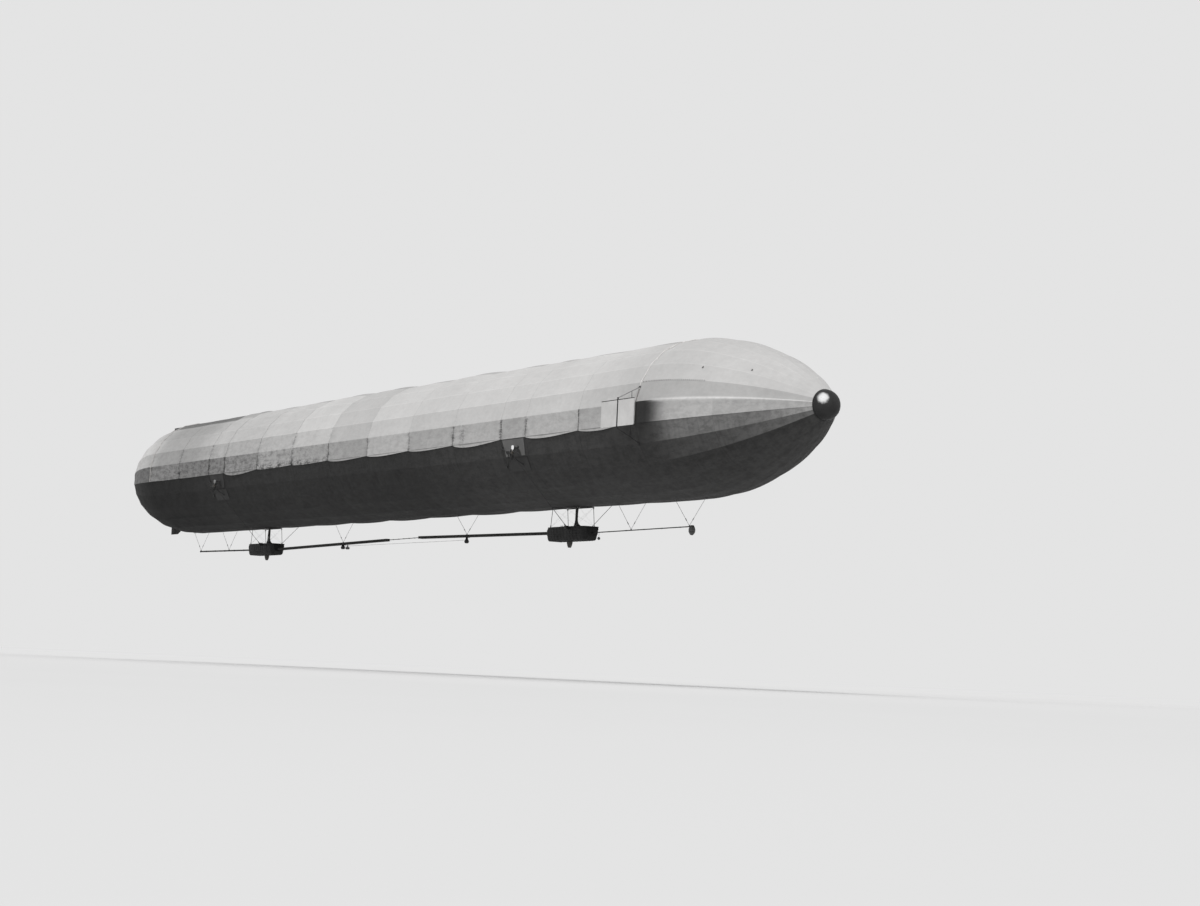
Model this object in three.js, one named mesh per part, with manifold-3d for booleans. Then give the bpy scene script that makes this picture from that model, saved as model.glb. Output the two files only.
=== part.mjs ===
// One-tenth scale model of an early rigid airship with two open gondolas.
// Millimetres, +X to the bow, +Y to port, +Z up, origin in the middle of the hull's axis.
import * as THREE from "three";
import { mergeVertices } from "three/addons/utils/BufferGeometryUtils.js";
import Module from "manifold-3d";

const wasm = await Module();
wasm.setup();

// Scale: every size below is the full-size ship's, in metres, times M
const M = 100;
const GAP = 0.3;

// Hull: a 24-sided cylinder of 12 frames between two ogival ends
const SIDES = 24;
const HULL_RADIUS = 5.85 * M;
const CYLINDER_END = 48 * M;
const OGIVE_LENGTH = 16.13 * M;
const OGIVE_POWER = 1.95;
const OGIVE_ROUNDNESS = 0.84;
const OGIVE_STATIONS = 8;
const COVER_WALL = 10;
const FACET = (2 * Math.PI) / SIDES;
const FLAT = HULL_RADIUS * Math.cos(FACET / 2);
const SPLIT = FACET / 2;
const coverSections = [
  { name: "midship", from: -12 * M, to: 12 * M },
  { name: "fore_mid", from: 12 * M, to: 28 * M },
  { name: "fore", from: 28 * M, to: 48 * M },
  { name: "aft_mid", from: -28 * M, to: -12 * M },
  { name: "aft", from: -48 * M, to: -28 * M },
];

// Nose caps
const CAP_RIM_X = 63 * M;
const CAP_TIP_X = 64 * M;
const CAP_RADIUS = 1.07 * M;
const CAP_FLAT_RADIUS = 0.12 * M;

// Gondolas, each hung between two frames 4 m apart
const RIM_Z = -7.42 * M;
const KEEL_Z = -8.48 * M;
const GONDOLA_WALL = 5;
const GONDOLA_HALF = 3.12 * M;
const GONDOLA_TUCK = 2.7 * M;
const FRAME_OFFSET = 2 * M;
const gondolaRows = [
  { x: -GONDOLA_HALF, rim: 0.58 * M, floor: 0.42 * M, keel: -8.12 * M },
  { x: -GONDOLA_TUCK, rim: 0.78 * M, floor: 0.62 * M, keel: KEEL_Z },
  { x: -1.5 * M, rim: 0.9 * M, floor: 0.72 * M, keel: KEEL_Z },
  { x: 1.5 * M, rim: 0.9 * M, floor: 0.72 * M, keel: KEEL_Z },
  { x: GONDOLA_TUCK, rim: 0.78 * M, floor: 0.62 * M, keel: KEEL_Z },
  { x: GONDOLA_HALF, rim: 0.58 * M, floor: 0.42 * M, keel: -8.12 * M },
];
const gondolas = [
  { name: "fore", centre: 30 * M, buffer: -0.3 * M },
  { name: "aft", centre: -30 * M, buffer: 0.3 * M },
];
const sides = [
  { name: "port", way: 1 },
  { name: "starboard", way: -1 },
];
const ENGINE = { x: 1.4 * M, length: 1.1 * M, width: 0.56 * M, top: -7.2 * M };
const TRUNK = { x: -0.6 * M, radius: 0.11 * M, casing: 0.24 * M, shoulder: -7 * M };
const BUFFER = { top: 0.24 * M, bottom: 0.12 * M, foot: -9 * M };
const STRUT_RADIUS = 0.03 * M;
const FOOT_PLATE = { length: 16, width: 10, thickness: 3 };
const KEEL_RAIL = 0.06 * M;
const CROSS_BAR = 4;
const BITE = 1;
const STRUT_RIM_Y = 0.82 * M;
const STRUT_HULL_Y = 0.68 * M;

// Gangway between the gondolas, with a thin link amidships
const GANGWAY = { height: 0.22 * M, width: 0.4 * M };
const gangways = [
  { name: "fore", inner: [2.67 * M, -7.62 * M], outer: [26.88 * M - GAP, -7.96 * M], stay: 12.1 * M },
  { name: "aft", inner: [-3.65 * M, -7.55 * M], outer: [GAP - 26.88 * M, -7.78 * M], stay: -12.4 * M },
];
const LINK = { height: 0.05 * M, width: 0.1 * M };
const HANGER_RADIUS = 0.2 * M;
const HANGER_FOOT = -8.26 * M;
const RAIL = { width: 3, top: -7.97 * M, bottom: -8 * M, bow: 12.05 * M, stern: -12.35 * M };
const TRIM = { x: 11.1 * M, radius: 0.2 * M, top: -8.08 * M, bottom: -8.3 * M, roller: 3 };
const CHEEK = { y: 4.5, thickness: 3, length: 10, sink: 4 };

// Booms beyond the gondolas
const STAY_RADIUS = 1.5;
const STAY_SPREAD = 2 * M;
const SHACKLE = { length: 8, height: 6 };
const booms = [
  {
    name: "bow_boom",
    radius: 0.075 * M,
    root: [33.12 * M + GAP, -7.91 * M],
    tip: [47.2 * M, -7.79 * M],
    stays: [39.5 * M, 47.1 * M],
  },
  {
    name: "stern_boom",
    radius: 0.04 * M,
    root: [-33.12 * M - GAP, -7.9 * M],
    tip: [-46.96 * M, -7.81 * M],
    stays: [-38.8 * M, -46.85 * M],
  },
];
const BOOM_WEIGHT = { x: -47.215 * M, radius: 0.25 * M, top: -7.72 * M, bottom: -8.45 * M };

// Propellers on outriggers at the hull's sides, driven by slanting shafts
const HUB = { x: -1.1 * M, y: 6.35 * M, z: -2.05 * M, radius: 0.09 * M };
const HOUSING = { fore: -0.38 * M, aft: -0.98 * M, radius: 0.12 * M };
const ROTOR_RADIUS = 0.575 * M;
const BLADES = 4;
const BLADE = { root: 0.1 * M, chord: 0.2 * M, thickness: 3, pitch: Math.PI / 6 };
const ARM = { x: -0.5 * M, radius: 0.035 * M };
const outriggerFeet = [
  { x: 2 * M, angle: -FACET },
  { x: 2 * M, angle: -2 * FACET },
  { x: -0.6 * M, angle: -FACET },
  { x: -0.6 * M, angle: -2 * FACET },
];
const SHAFT = { x: -0.93 * M, footY: 1.05 * M, footZ: -7.49 * M, radius: 0.03 * M };
const BEVEL_BOX = { length: 0.24 * M, inner: 0.9 * M + GAP, outer: 1.2 * M, height: 0.26 * M };

// Rudders: one at each side of the stern, one above and one below the bow
const STERN_POST = { x: -48 * M, y: 7.3 * M, radius: 0.05 * M };
const STERN_PANEL = { length: 2.1 * M, low: -1.14 * M, high: 0.78 * M, thickness: 4, fromPost: 0.1 * M };
const STERN_FEET = [
  { z: 0.9 * M, angle: 1.25 * FACET },
  { z: -1.26 * M, angle: -1.5 * FACET },
];
const STERN_SPAR = 6;
const STERN_SPINE_Y = 6.15 * M;
const STERN_BEARING = { height: 0.06 * M, radius: 0.07 * M };
const bowRudders = [
  { name: "upper", way: 1, post: 55.4 * M, low: 4.9 * M, tip: 5.9 * M },
  { name: "lower", way: -1, post: 54.6 * M, low: 4.8 * M, tip: 5.75 * M },
];
const BOW_RUDDER = { ahead: 1.3 * M, behind: 1.3 * M, cornerBehind: 0.6 * M, thickness: 4 };
const BOW_TRAILING_EDGE = { top: 0.27 * M, bottom: 0.42 * M };
const BOW_POST_RADIUS = 0.045 * M;
const BOW_SEAT = { rise: 0.03 * M, radius: 0.1 * M };

const finish = (color, roughness, metalness) =>
  new THREE.MeshStandardMaterial({ color, roughness, metalness });
const materials = {
  upperCover: finish(0xc9c8c4, 0.85, 0),
  lowerCover: finish(0x35342f, 0.9, 0),
  bareMetal: finish(0x8d8f92, 0.4, 0.9),
  gondola: finish(0x4a4b4c, 0.5, 0.7),
  framing: finish(0x3c3d3e, 0.5, 0.7),
  engine: finish(0x2e2f30, 0.6, 0.6),
  walkway: finish(0x3a3733, 0.8, 0),
  rudderCloth: finish(0xd6d5d0, 0.8, 0),
  padding: finish(0x3b322a, 0.8, 0),
  lead: finish(0x404346, 0.6, 0.6),
};

const airship = new THREE.Group();
airship.name = "airship";

// A closed three.js geometry as a solid, with shared vertices merged and folded triangles dropped.
function solidOf(source) {
  const geometry = source.index ? source.toNonIndexed() : source.clone();
  geometry.deleteAttribute("normal");
  geometry.deleteAttribute("uv");
  const merged = mergeVertices(geometry, 1e-4);
  const corners = merged.index.array;
  const kept = [];
  for (let i = 0; i < corners.length; i += 3) {
    const [a, b, c] = corners.slice(i, i + 3);
    if (a !== b && b !== c && c !== a) kept.push(a, b, c);
  }
  const vertProperties = merged.attributes.position.array;
  return new wasm.Manifold(new wasm.Mesh({ numProp: 3, vertProperties, triVerts: new Uint32Array(kept) }));
}

function geometryOf(solid) {
  const mesh = solid.getMesh();
  const geometry = new THREE.BufferGeometry();
  geometry.setAttribute("position", new THREE.BufferAttribute(mesh.vertProperties, 3));
  geometry.setIndex(new THREE.BufferAttribute(mesh.triVerts, 1));
  geometry.computeVertexNormals();
  return geometry;
}

const joined = (solids) => solids.reduce((whole, piece) => whole.add(piece));
const spanned = (middle, width) => [middle - width / 2, middle + width / 2];

function addPiece(name, solid, material, parent = airship) {
  const mesh = new THREE.Mesh(geometryOf(solid), material);
  mesh.name = name;
  parent.add(mesh);
}

// Basic shapes

function block(x, y, z) {
  const box = new THREE.BoxGeometry(x[1] - x[0], y[1] - y[0], z[1] - z[0]);
  box.translate((x[0] + x[1]) / 2, (y[0] + y[1]) / 2, (z[0] + z[1]) / 2);
  return solidOf(box);
}

function rod(start, end, radius, sidesRound = 8) {
  const a = new THREE.Vector3(...start);
  const b = new THREE.Vector3(...end);
  const along = b.clone().sub(a);
  const bar = new THREE.CylinderGeometry(radius, radius, along.length(), sidesRound);
  const turn = new THREE.Quaternion().setFromUnitVectors(new THREE.Vector3(0, 1, 0), along.normalize());
  bar.applyQuaternion(turn);
  bar.translate(...a.add(b).multiplyScalar(0.5));
  return solidOf(bar);
}

// A profile of [radius, place along the axis] points turned about X.
function turnedAboutX(profile, sidesRound = SIDES) {
  const points = profile.map(([radius, x]) => new THREE.Vector2(radius, x));
  const lathe = new THREE.LatheGeometry(points, sidesRound, Math.PI / sidesRound);
  return solidOf(lathe.rotateZ(-Math.PI / 2));
}

// The same about a vertical axis at x, y.
function turnedAboutZ(profile, x = 0, y = 0, sidesRound = 16) {
  const points = profile.map(([radius, z]) => new THREE.Vector2(radius, z));
  const lathe = new THREE.LatheGeometry(points, sidesRound);
  return solidOf(lathe.rotateX(Math.PI / 2).translate(x, y, 0));
}

// An outline of [x, z] points with a thickness across Y.
function slab(outline, thickness) {
  const shape = new THREE.Shape(outline.map(([x, z]) => new THREE.Vector2(x, z)));
  const plate = new THREE.ExtrudeGeometry(shape, { depth: thickness, bevelEnabled: false });
  return solidOf(plate.rotateX(Math.PI / 2).translate(0, thickness / 2, 0));
}

// An outline of [y, z] points carried along X.
function prism(outline, from, to) {
  const shape = new THREE.Shape(outline.map(([y, z]) => new THREE.Vector2(y, z)));
  const bar = new THREE.ExtrudeGeometry(shape, { depth: to - from, bevelEnabled: false });
  const yzx = new THREE.Matrix4().makeBasis(
    new THREE.Vector3(0, 1, 0),
    new THREE.Vector3(0, 0, 1),
    new THREE.Vector3(1, 0, 0),
  );
  return solidOf(bar.applyMatrix4(yzx).translate(from, 0, 0));
}

// Hull form

function hullRadius(x) {
  const t = Math.max(0, (Math.abs(x) - CYLINDER_END) / OGIVE_LENGTH);
  return HULL_RADIUS * (1 - t ** OGIVE_POWER) ** OGIVE_ROUNDNESS;
}

function innerRadius(x) {
  const slope = hullRadius(x + 1) - hullRadius(x);
  return hullRadius(x) - COVER_WALL * Math.hypot(1, slope);
}

// Stations crowd together towards the cap, where the ogive is roundest.
const ogiveStations = Array.from({ length: OGIVE_STATIONS + 1 }, (_, i) => {
  const share = Math.sin(((i / OGIVE_STATIONS) * Math.PI) / 2);
  return CYLINDER_END + share * (CAP_RIM_X - CYLINDER_END);
});

// The whole hull as one solid, a gap larger than its covers, to trim what is fixed to it.
const bowOutline = ogiveStations.map((x) => [hullRadius(x) + GAP, x]);
const sternOutline = bowOutline.map(([radius, x]) => [radius, -x]).reverse();
const hullForm = turnedAboutX([[0, -CAP_RIM_X], ...sternOutline, ...bowOutline, [0, CAP_RIM_X]]);
const seatedOnHull = (solids) => joined(solids).subtract(hullForm);

// The upper cover lies on the facets above the split, the lower one on those below it.
function wedge(lift) {
  const far = 1.3 * HULL_RADIUS;
  const drop = -far * Math.tan(SPLIT);
  const outline = [
    [-far, drop + lift],
    [0, lift],
    [far, drop + lift],
    [far, far],
    [-far, far],
  ];
  return prism(outline, -CAP_TIP_X, CAP_TIP_X);
}
const upperWedge = wedge(GAP / 2);
const lowerWedge = wedge(-GAP / 2);

function addCovers(name, ring, parent = airship) {
  addPiece(`${name}_cover_upper`, ring.intersect(upperWedge), materials.upperCover, parent);
  addPiece(`${name}_cover_lower`, ring.subtract(lowerWedge), materials.lowerCover, parent);
}

for (const { name, from, to } of coverSections) {
  const inner = HULL_RADIUS - COVER_WALL;
  const stern = from + GAP;
  const ring = turnedAboutX([
    [inner, stern],
    [HULL_RADIUS, stern],
    [HULL_RADIUS, to],
    [inner, to],
    [inner, stern],
  ]);
  addCovers(name, ring);
}

// Both ends are alike, so the stern's is the bow's turned about the vertical.
const ogiveOutside = ogiveStations.map((x) => [hullRadius(x), x + GAP]);
const ogiveInside = ogiveStations.map((x) => [innerRadius(x), x + GAP]).reverse();
const ogive = turnedAboutX([...ogiveOutside, ...ogiveInside, ogiveOutside[0]]);
const capBase = CAP_RIM_X + 2 * GAP;
const CAP_STEPS = 5;
const capDome = Array.from({ length: CAP_STEPS }, (_, i) => {
  const angle = ((i / CAP_STEPS) * Math.PI) / 2;
  return [CAP_RADIUS * Math.cos(angle), capBase + (CAP_TIP_X - capBase) * Math.sin(angle)];
});
const cap = turnedAboutX([[0, capBase], ...capDome, [CAP_FLAT_RADIUS, CAP_TIP_X], [0, CAP_TIP_X]]);
for (const [name, turn] of [
  ["bow", 0],
  ["stern", Math.PI],
]) {
  const end = new THREE.Group();
  end.rotation.z = turn;
  airship.add(end);
  addCovers(`${name}_ogive`, ogive, end);
  addPiece(`${name}_cap`, cap, materials.bareMetal, end);
}

// Gondola: an open tub lofted through four-cornered sections

function loft(rows) {
  const places = rows.flatMap(({ x, rim, floor, keel, top }) => [
    [x, rim, top],
    [x, floor, keel],
    [x, -floor, keel],
    [x, -rim, top],
  ]);
  const corners = [0, 1, 2, 0, 2, 3];
  for (let row = 0; row < rows.length - 1; row += 1) {
    for (let k = 0; k < 4; k += 1) {
      const a = 4 * row + k;
      const b = 4 * row + ((k + 1) % 4);
      corners.push(a, a + 4, b + 4, a, b + 4, b);
    }
  }
  const last = 4 * (rows.length - 1);
  corners.push(last, last + 2, last + 1, last, last + 3, last + 2);
  const geometry = new THREE.BufferGeometry();
  geometry.setAttribute("position", new THREE.Float32BufferAttribute(places.flat(), 3));
  geometry.setIndex(corners);
  return solidOf(geometry);
}

const tubOutside = gondolaRows.map((row) => ({ ...row, top: RIM_Z }));
const tubInside = gondolaRows.map(({ x, rim, floor, keel }) => ({
  x: x - Math.sign(x) * (Math.abs(x) === GONDOLA_HALF ? GONDOLA_WALL : 0),
  rim: rim - GONDOLA_WALL,
  floor: floor - GONDOLA_WALL,
  keel: keel + GONDOLA_WALL,
  top: RIM_Z + GONDOLA_WALL,
}));
const tub = loft(tubOutside).subtract(loft(tubInside));
const deckZ = KEEL_Z + GONDOLA_WALL + GAP;
const engineBlock = block(
  [ENGINE.x - ENGINE.length / 2, ENGINE.x + ENGINE.length / 2],
  [-ENGINE.width / 2, ENGINE.width / 2],
  [deckZ, ENGINE.top],
);
const buffer = turnedAboutZ([
  [0, BUFFER.foot],
  [BUFFER.bottom, BUFFER.foot],
  [BUFFER.top, BUFFER.foot + 0.4 * M],
  [BUFFER.top, KEEL_Z - GAP],
  [0, KEEL_Z - GAP],
]);

for (const { name, centre, buffer: bufferX } of gondolas) {
  const group = new THREE.Group();
  group.position.x = centre;
  airship.add(group);
  addPiece(`${name}_gondola`, tub, materials.gondola, group);
  addPiece(`${name}_engine`, engineBlock, materials.engine, group);
  const cushion = new THREE.Group();
  cushion.position.x = bufferX;
  group.add(cushion);
  addPiece(`${name}_buffer`, buffer, materials.padding, cushion);

  const trunk = turnedAboutZ(
    [
      [0, deckZ],
      [TRUNK.casing, deckZ],
      [TRUNK.casing, RIM_Z],
      [TRUNK.radius, TRUNK.shoulder],
      [TRUNK.radius, -FLAT + COVER_WALL],
      [0, -FLAT + COVER_WALL],
    ],
    centre + TRUNK.x,
  );
  addPiece(`${name}_ladder_trunk`, seatedOnHull([trunk]), materials.framing);
  addPiece(`${name}_strut_frame`, strutFrame(centre), materials.framing);
}

// Four struts from the gondola's rim to a keel ladder under the hull's bottom facet.
function strutFrame(centre) {
  const railTop = -FLAT - GAP;
  const railZ = [railTop - KEEL_RAIL, railTop];
  const plateZ = [RIM_Z + GAP, RIM_Z + GAP + FOOT_PLATE.thickness];
  const struts = [centre - FRAME_OFFSET, centre + FRAME_OFFSET];
  const pieces = [];
  for (const { way } of sides) {
    const y = way * STRUT_HULL_Y;
    const footY = way * STRUT_RIM_Y;
    pieces.push(block(spanned(centre, 2 * (FRAME_OFFSET + KEEL_RAIL)), spanned(y, KEEL_RAIL), railZ));
    for (const x of struts) {
      pieces.push(rod([x, footY, plateZ[0] + BITE], [x, y, railTop - BITE], STRUT_RADIUS));
      pieces.push(block(spanned(x, FOOT_PLATE.length), spanned(footY, FOOT_PLATE.width), plateZ));
    }
  }
  const barZ = [railZ[0] + BITE, railTop - BITE];
  for (const x of struts) {
    pieces.push(block(spanned(x, CROSS_BAR), spanned(0, 2 * STRUT_HULL_Y), barZ));
  }
  return joined(pieces);
}

// A pair of stays in a V from one foot up to the hull, with a small shackle at the foot.
function stays(x, z) {
  const head = -FLAT + COVER_WALL / 2;
  const foot = z + SHACKLE.height / 2;
  return [
    block(spanned(x, SHACKLE.length), spanned(0, SHACKLE.length), [z, z + SHACKLE.height]),
    rod([x, 0, foot], [x + STAY_SPREAD, 0, head], STAY_RADIUS),
    rod([x, 0, foot], [x - STAY_SPREAD, 0, head], STAY_RADIUS),
  ];
}

function lineHeight([x0, z0], [x1, z1], x) {
  return z0 + ((x - x0) / (x1 - x0)) * (z1 - z0);
}

// Gangways, each with its stays above and its rail hanger below

const railSlot = block(
  [RAIL.stern - GAP, RAIL.bow + GAP],
  spanned(0, RAIL.width + 2 * GAP),
  [RAIL.bottom - GAP, RAIL.top + GAP],
);
for (const { name, inner, outer, stay } of gangways) {
  const half = GANGWAY.height / 2;
  const outline = [
    [inner[0], inner[1] - half],
    [outer[0], outer[1] - half],
    [outer[0], outer[1] + half],
    [inner[0], inner[1] + half],
  ];
  if (outer[0] < 0) outline.reverse();
  const deck = lineHeight(inner, outer, stay);
  const hanger = turnedAboutZ(
    [
      [0, HANGER_FOOT],
      [0.6 * HANGER_RADIUS, HANGER_FOOT],
      [HANGER_RADIUS, HANGER_FOOT + HANGER_RADIUS / 2],
      [HANGER_RADIUS, HANGER_FOOT + HANGER_RADIUS],
      [0.5 * HANGER_RADIUS, deck],
      [0, deck],
    ],
    stay,
  );
  const pieces = [slab(outline, GANGWAY.width), hanger, ...stays(stay, deck + half - BITE)];
  addPiece(`${name}_gangway`, seatedOnHull(pieces).subtract(railSlot), materials.walkway);
}

const [foreEnd, aftEnd] = gangways.map((gangway) => gangway.inner);
const linkOutline = [
  [aftEnd[0] + GAP, aftEnd[1] - LINK.height / 2],
  [foreEnd[0] - GAP, foreEnd[1] - LINK.height / 2],
  [foreEnd[0] - GAP, foreEnd[1] + LINK.height / 2],
  [aftEnd[0] + GAP, aftEnd[1] + LINK.height / 2],
];
addPiece("gangway_link", slab(linkOutline, LINK.width), materials.walkway);

const rail = block([RAIL.stern, RAIL.bow], spanned(0, RAIL.width), [RAIL.bottom, RAIL.top]);
addPiece("trim_rail", rail, materials.framing);

// Trim weight: a lead bob on two cheeks and a roller that runs on the rail
const rollerZ = RAIL.top + TRIM.roller + GAP;
const bob = turnedAboutZ(
  [
    [0, TRIM.bottom],
    [0.6 * TRIM.radius, TRIM.bottom],
    [TRIM.radius, TRIM.bottom + 0.06 * M],
    [TRIM.radius, TRIM.top - 0.04 * M],
    [0.7 * TRIM.radius, TRIM.top],
    [0, TRIM.top],
  ],
  TRIM.x,
);
const cheeks = sides.map(({ way }) => {
  const height = [TRIM.top - CHEEK.sink, rollerZ + TRIM.roller];
  return block(spanned(TRIM.x, CHEEK.length), spanned(way * CHEEK.y, CHEEK.thickness), height);
});
const rollerEnd = CHEEK.y + CHEEK.thickness / 2;
const roller = rod([TRIM.x, -rollerEnd, rollerZ], [TRIM.x, rollerEnd, rollerZ], TRIM.roller, 12);
addPiece("trim_weight", joined([bob, ...cheeks, roller]), materials.lead);

// Booms, each with two pairs of stays
for (const { name, radius, root, tip, stays: feet } of booms) {
  const pole = rod([root[0], 0, root[1]], [tip[0], 0, tip[1]], radius, 12);
  const rigging = feet.flatMap((x) => stays(x, lineHeight(root, tip, x) + radius - BITE));
  addPiece(name, seatedOnHull([pole, ...rigging]), materials.framing);
}
const weight = turnedAboutZ(
  [
    [0, BOOM_WEIGHT.bottom],
    [0.5 * BOOM_WEIGHT.radius, BOOM_WEIGHT.bottom],
    [BOOM_WEIGHT.radius, BOOM_WEIGHT.bottom + 0.2 * M],
    [BOOM_WEIGHT.radius, BOOM_WEIGHT.top - 0.1 * M],
    [0.4 * BOOM_WEIGHT.radius, BOOM_WEIGHT.top],
    [0, BOOM_WEIGHT.top],
  ],
  BOOM_WEIGHT.x,
);
addPiece("boom_weight", weight, materials.lead);

// Propeller: four pitched blades on a hub that turns about X, one of them straight up
function propeller() {
  const outline = new THREE.Shape();
  outline.moveTo(-BLADE.chord / 4, 0);
  outline.lineTo(-BLADE.chord / 4, BLADE.root);
  outline.lineTo(-BLADE.chord / 2, 0.7 * ROTOR_RADIUS);
  outline.quadraticCurveTo(-BLADE.chord / 2, ROTOR_RADIUS, 0, ROTOR_RADIUS);
  outline.quadraticCurveTo(BLADE.chord / 2, ROTOR_RADIUS, BLADE.chord / 2, 0.7 * ROTOR_RADIUS);
  outline.lineTo(BLADE.chord / 4, BLADE.root);
  outline.lineTo(BLADE.chord / 4, 0);
  const flat = { depth: BLADE.thickness, bevelEnabled: false, curveSegments: 3 };
  const hubLength = HOUSING.aft - HUB.x - GAP;
  const pieces = [rod([-hubLength, 0, 0], [hubLength, 0, 0], HUB.radius, 16)];
  for (let i = 0; i < BLADES; i += 1) {
    const blade = new THREE.ExtrudeGeometry(outline, flat);
    blade.translate(0, 0, -BLADE.thickness / 2);
    blade.rotateX(Math.PI / 2);
    blade.rotateZ(Math.PI / 2 - BLADE.pitch);
    blade.rotateX((i * 2 * Math.PI) / BLADES);
    pieces.push(solidOf(blade));
  }
  return joined(pieces);
}

// Outrigger: a gear housing on four arms that spread to two frames of the hull
function outrigger(centre, way) {
  const axis = [way * HUB.y, HUB.z];
  const from = [centre + HOUSING.aft, ...axis];
  const pieces = [rod(from, [centre + HOUSING.fore, ...axis], HOUSING.radius, 16)];
  for (const { x, angle } of outriggerFeet) {
    const depth = FLAT - COVER_WALL / 2;
    const foot = [centre + x, way * depth * Math.cos(angle), depth * Math.sin(angle)];
    pieces.push(rod([centre + ARM.x, ...axis], foot, ARM.radius));
  }
  return seatedOnHull(pieces);
}

// Drive shaft in its tube, from a bevel box on the gondola's side to just short of the housing
function driveShaft(centre, way) {
  const foot = new THREE.Vector3(centre + SHAFT.x, way * SHAFT.footY, SHAFT.footZ);
  const housing = new THREE.Vector3(centre + SHAFT.x, way * HUB.y, HUB.z);
  const inward = foot.clone().sub(housing).normalize();
  const head = housing.addScaledVector(inward, HOUSING.radius + GAP);
  const y = [way * BEVEL_BOX.inner, way * BEVEL_BOX.outer].sort((a, b) => a - b);
  return joined([
    rod(foot.toArray(), head.toArray(), SHAFT.radius, 12),
    block(spanned(foot.x, BEVEL_BOX.length), y, spanned(foot.z, BEVEL_BOX.height)),
  ]);
}

const rotor = propeller();
for (const { name, centre } of gondolas) {
  for (const { name: side, way } of sides) {
    addPiece(`${name}_outrigger_${side}`, outrigger(centre, way), materials.framing);
    addPiece(`${name}_drive_shaft_${side}`, driveShaft(centre, way), materials.bareMetal);
    const hub = new THREE.Group();
    hub.position.set(centre + HUB.x, way * HUB.y, HUB.z);
    airship.add(hub);
    addPiece(`${name}_propeller_${side}`, rotor, materials.bareMetal, hub);
  }
}

// Stern rudders: two cloth panels, one each side of an upright post
for (const { name, way } of sides) {
  const { x, y, radius } = STERN_POST;
  const { length, low, high, thickness, fromPost } = STERN_PANEL;
  const across = spanned(way * y, thickness);
  const panels = [-1, 1].map((end) => {
    const edges = [x + end * fromPost, x + end * (fromPost + length)].sort((a, b) => a - b);
    return block(edges, across, [low, high]);
  });
  const [upper, lower] = STERN_FEET;
  const clear = STERN_BEARING.height / 2 + GAP;
  const post = rod([x, way * y, lower.z + clear], [x, way * y, upper.z - clear], radius);
  const spars = [low + STERN_SPAR / 2, high - STERN_SPAR / 2].map((z) =>
    block(spanned(x, 2 * (fromPost + length)), across, spanned(z, STERN_SPAR)),
  );
  addPiece(`stern_rudder_${name}`, joined([post, ...panels, ...spars]), materials.rudderCloth);

  const pieces = [];
  const spineEnds = [];
  const depth = FLAT - COVER_WALL / 2;
  for (const { z, angle } of STERN_FEET) {
    const foot = [depth * Math.cos(angle), depth * Math.sin(angle)];
    pieces.push(rod([x, way * y, z], [x, way * foot[0], foot[1]], STRUT_RADIUS));
    const [bottom, top] = spanned(z, STERN_BEARING.height);
    pieces.push(rod([x, way * y, bottom], [x, way * y, top], STERN_BEARING.radius, 12));
    spineEnds.push([x, way * STERN_SPINE_Y, lineHeight([y, z], foot, STERN_SPINE_Y)]);
  }
  pieces.push(rod(spineEnds[0], spineEnds[1], STRUT_RADIUS));
  addPiece(`stern_rudder_bracket_${name}`, seatedOnHull(pieces), materials.framing);
}

// Bow rudders on the centreline, turning about upright posts in seats on the ogive
for (const { name, way, post, low, tip } of bowRudders) {
  const corners = [
    [post + BOW_RUDDER.ahead, low],
    [post + BOW_RUDDER.ahead, tip],
    [post - BOW_RUDDER.cornerBehind, tip],
    [post - BOW_RUDDER.behind, tip - BOW_TRAILING_EDGE.top],
    [post - BOW_RUDDER.behind, tip - BOW_TRAILING_EDGE.bottom],
  ];
  const outline = corners.map(([x, z]) => [x, way * z]);
  if (way > 0) outline.reverse();
  const seatTop = hullRadius(post) + BOW_SEAT.rise;
  const pin = rod([post, 0, way * (seatTop + GAP)], [post, 0, way * tip], BOW_POST_RADIUS);
  addPiece(`bow_rudder_${name}`, joined([slab(outline, BOW_RUDDER.thickness), pin]), materials.rudderCloth);
  const depth = hullRadius(post) - COVER_WALL;
  const seat = rod([post, 0, way * depth], [post, 0, way * seatTop], BOW_SEAT.radius, 12);
  addPiece(`bow_rudder_seat_${name}`, seatedOnHull([seat]), materials.framing);
}

export default airship;
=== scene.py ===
import math

import bpy
import numpy as np
from mathutils import Matrix, Vector


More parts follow.
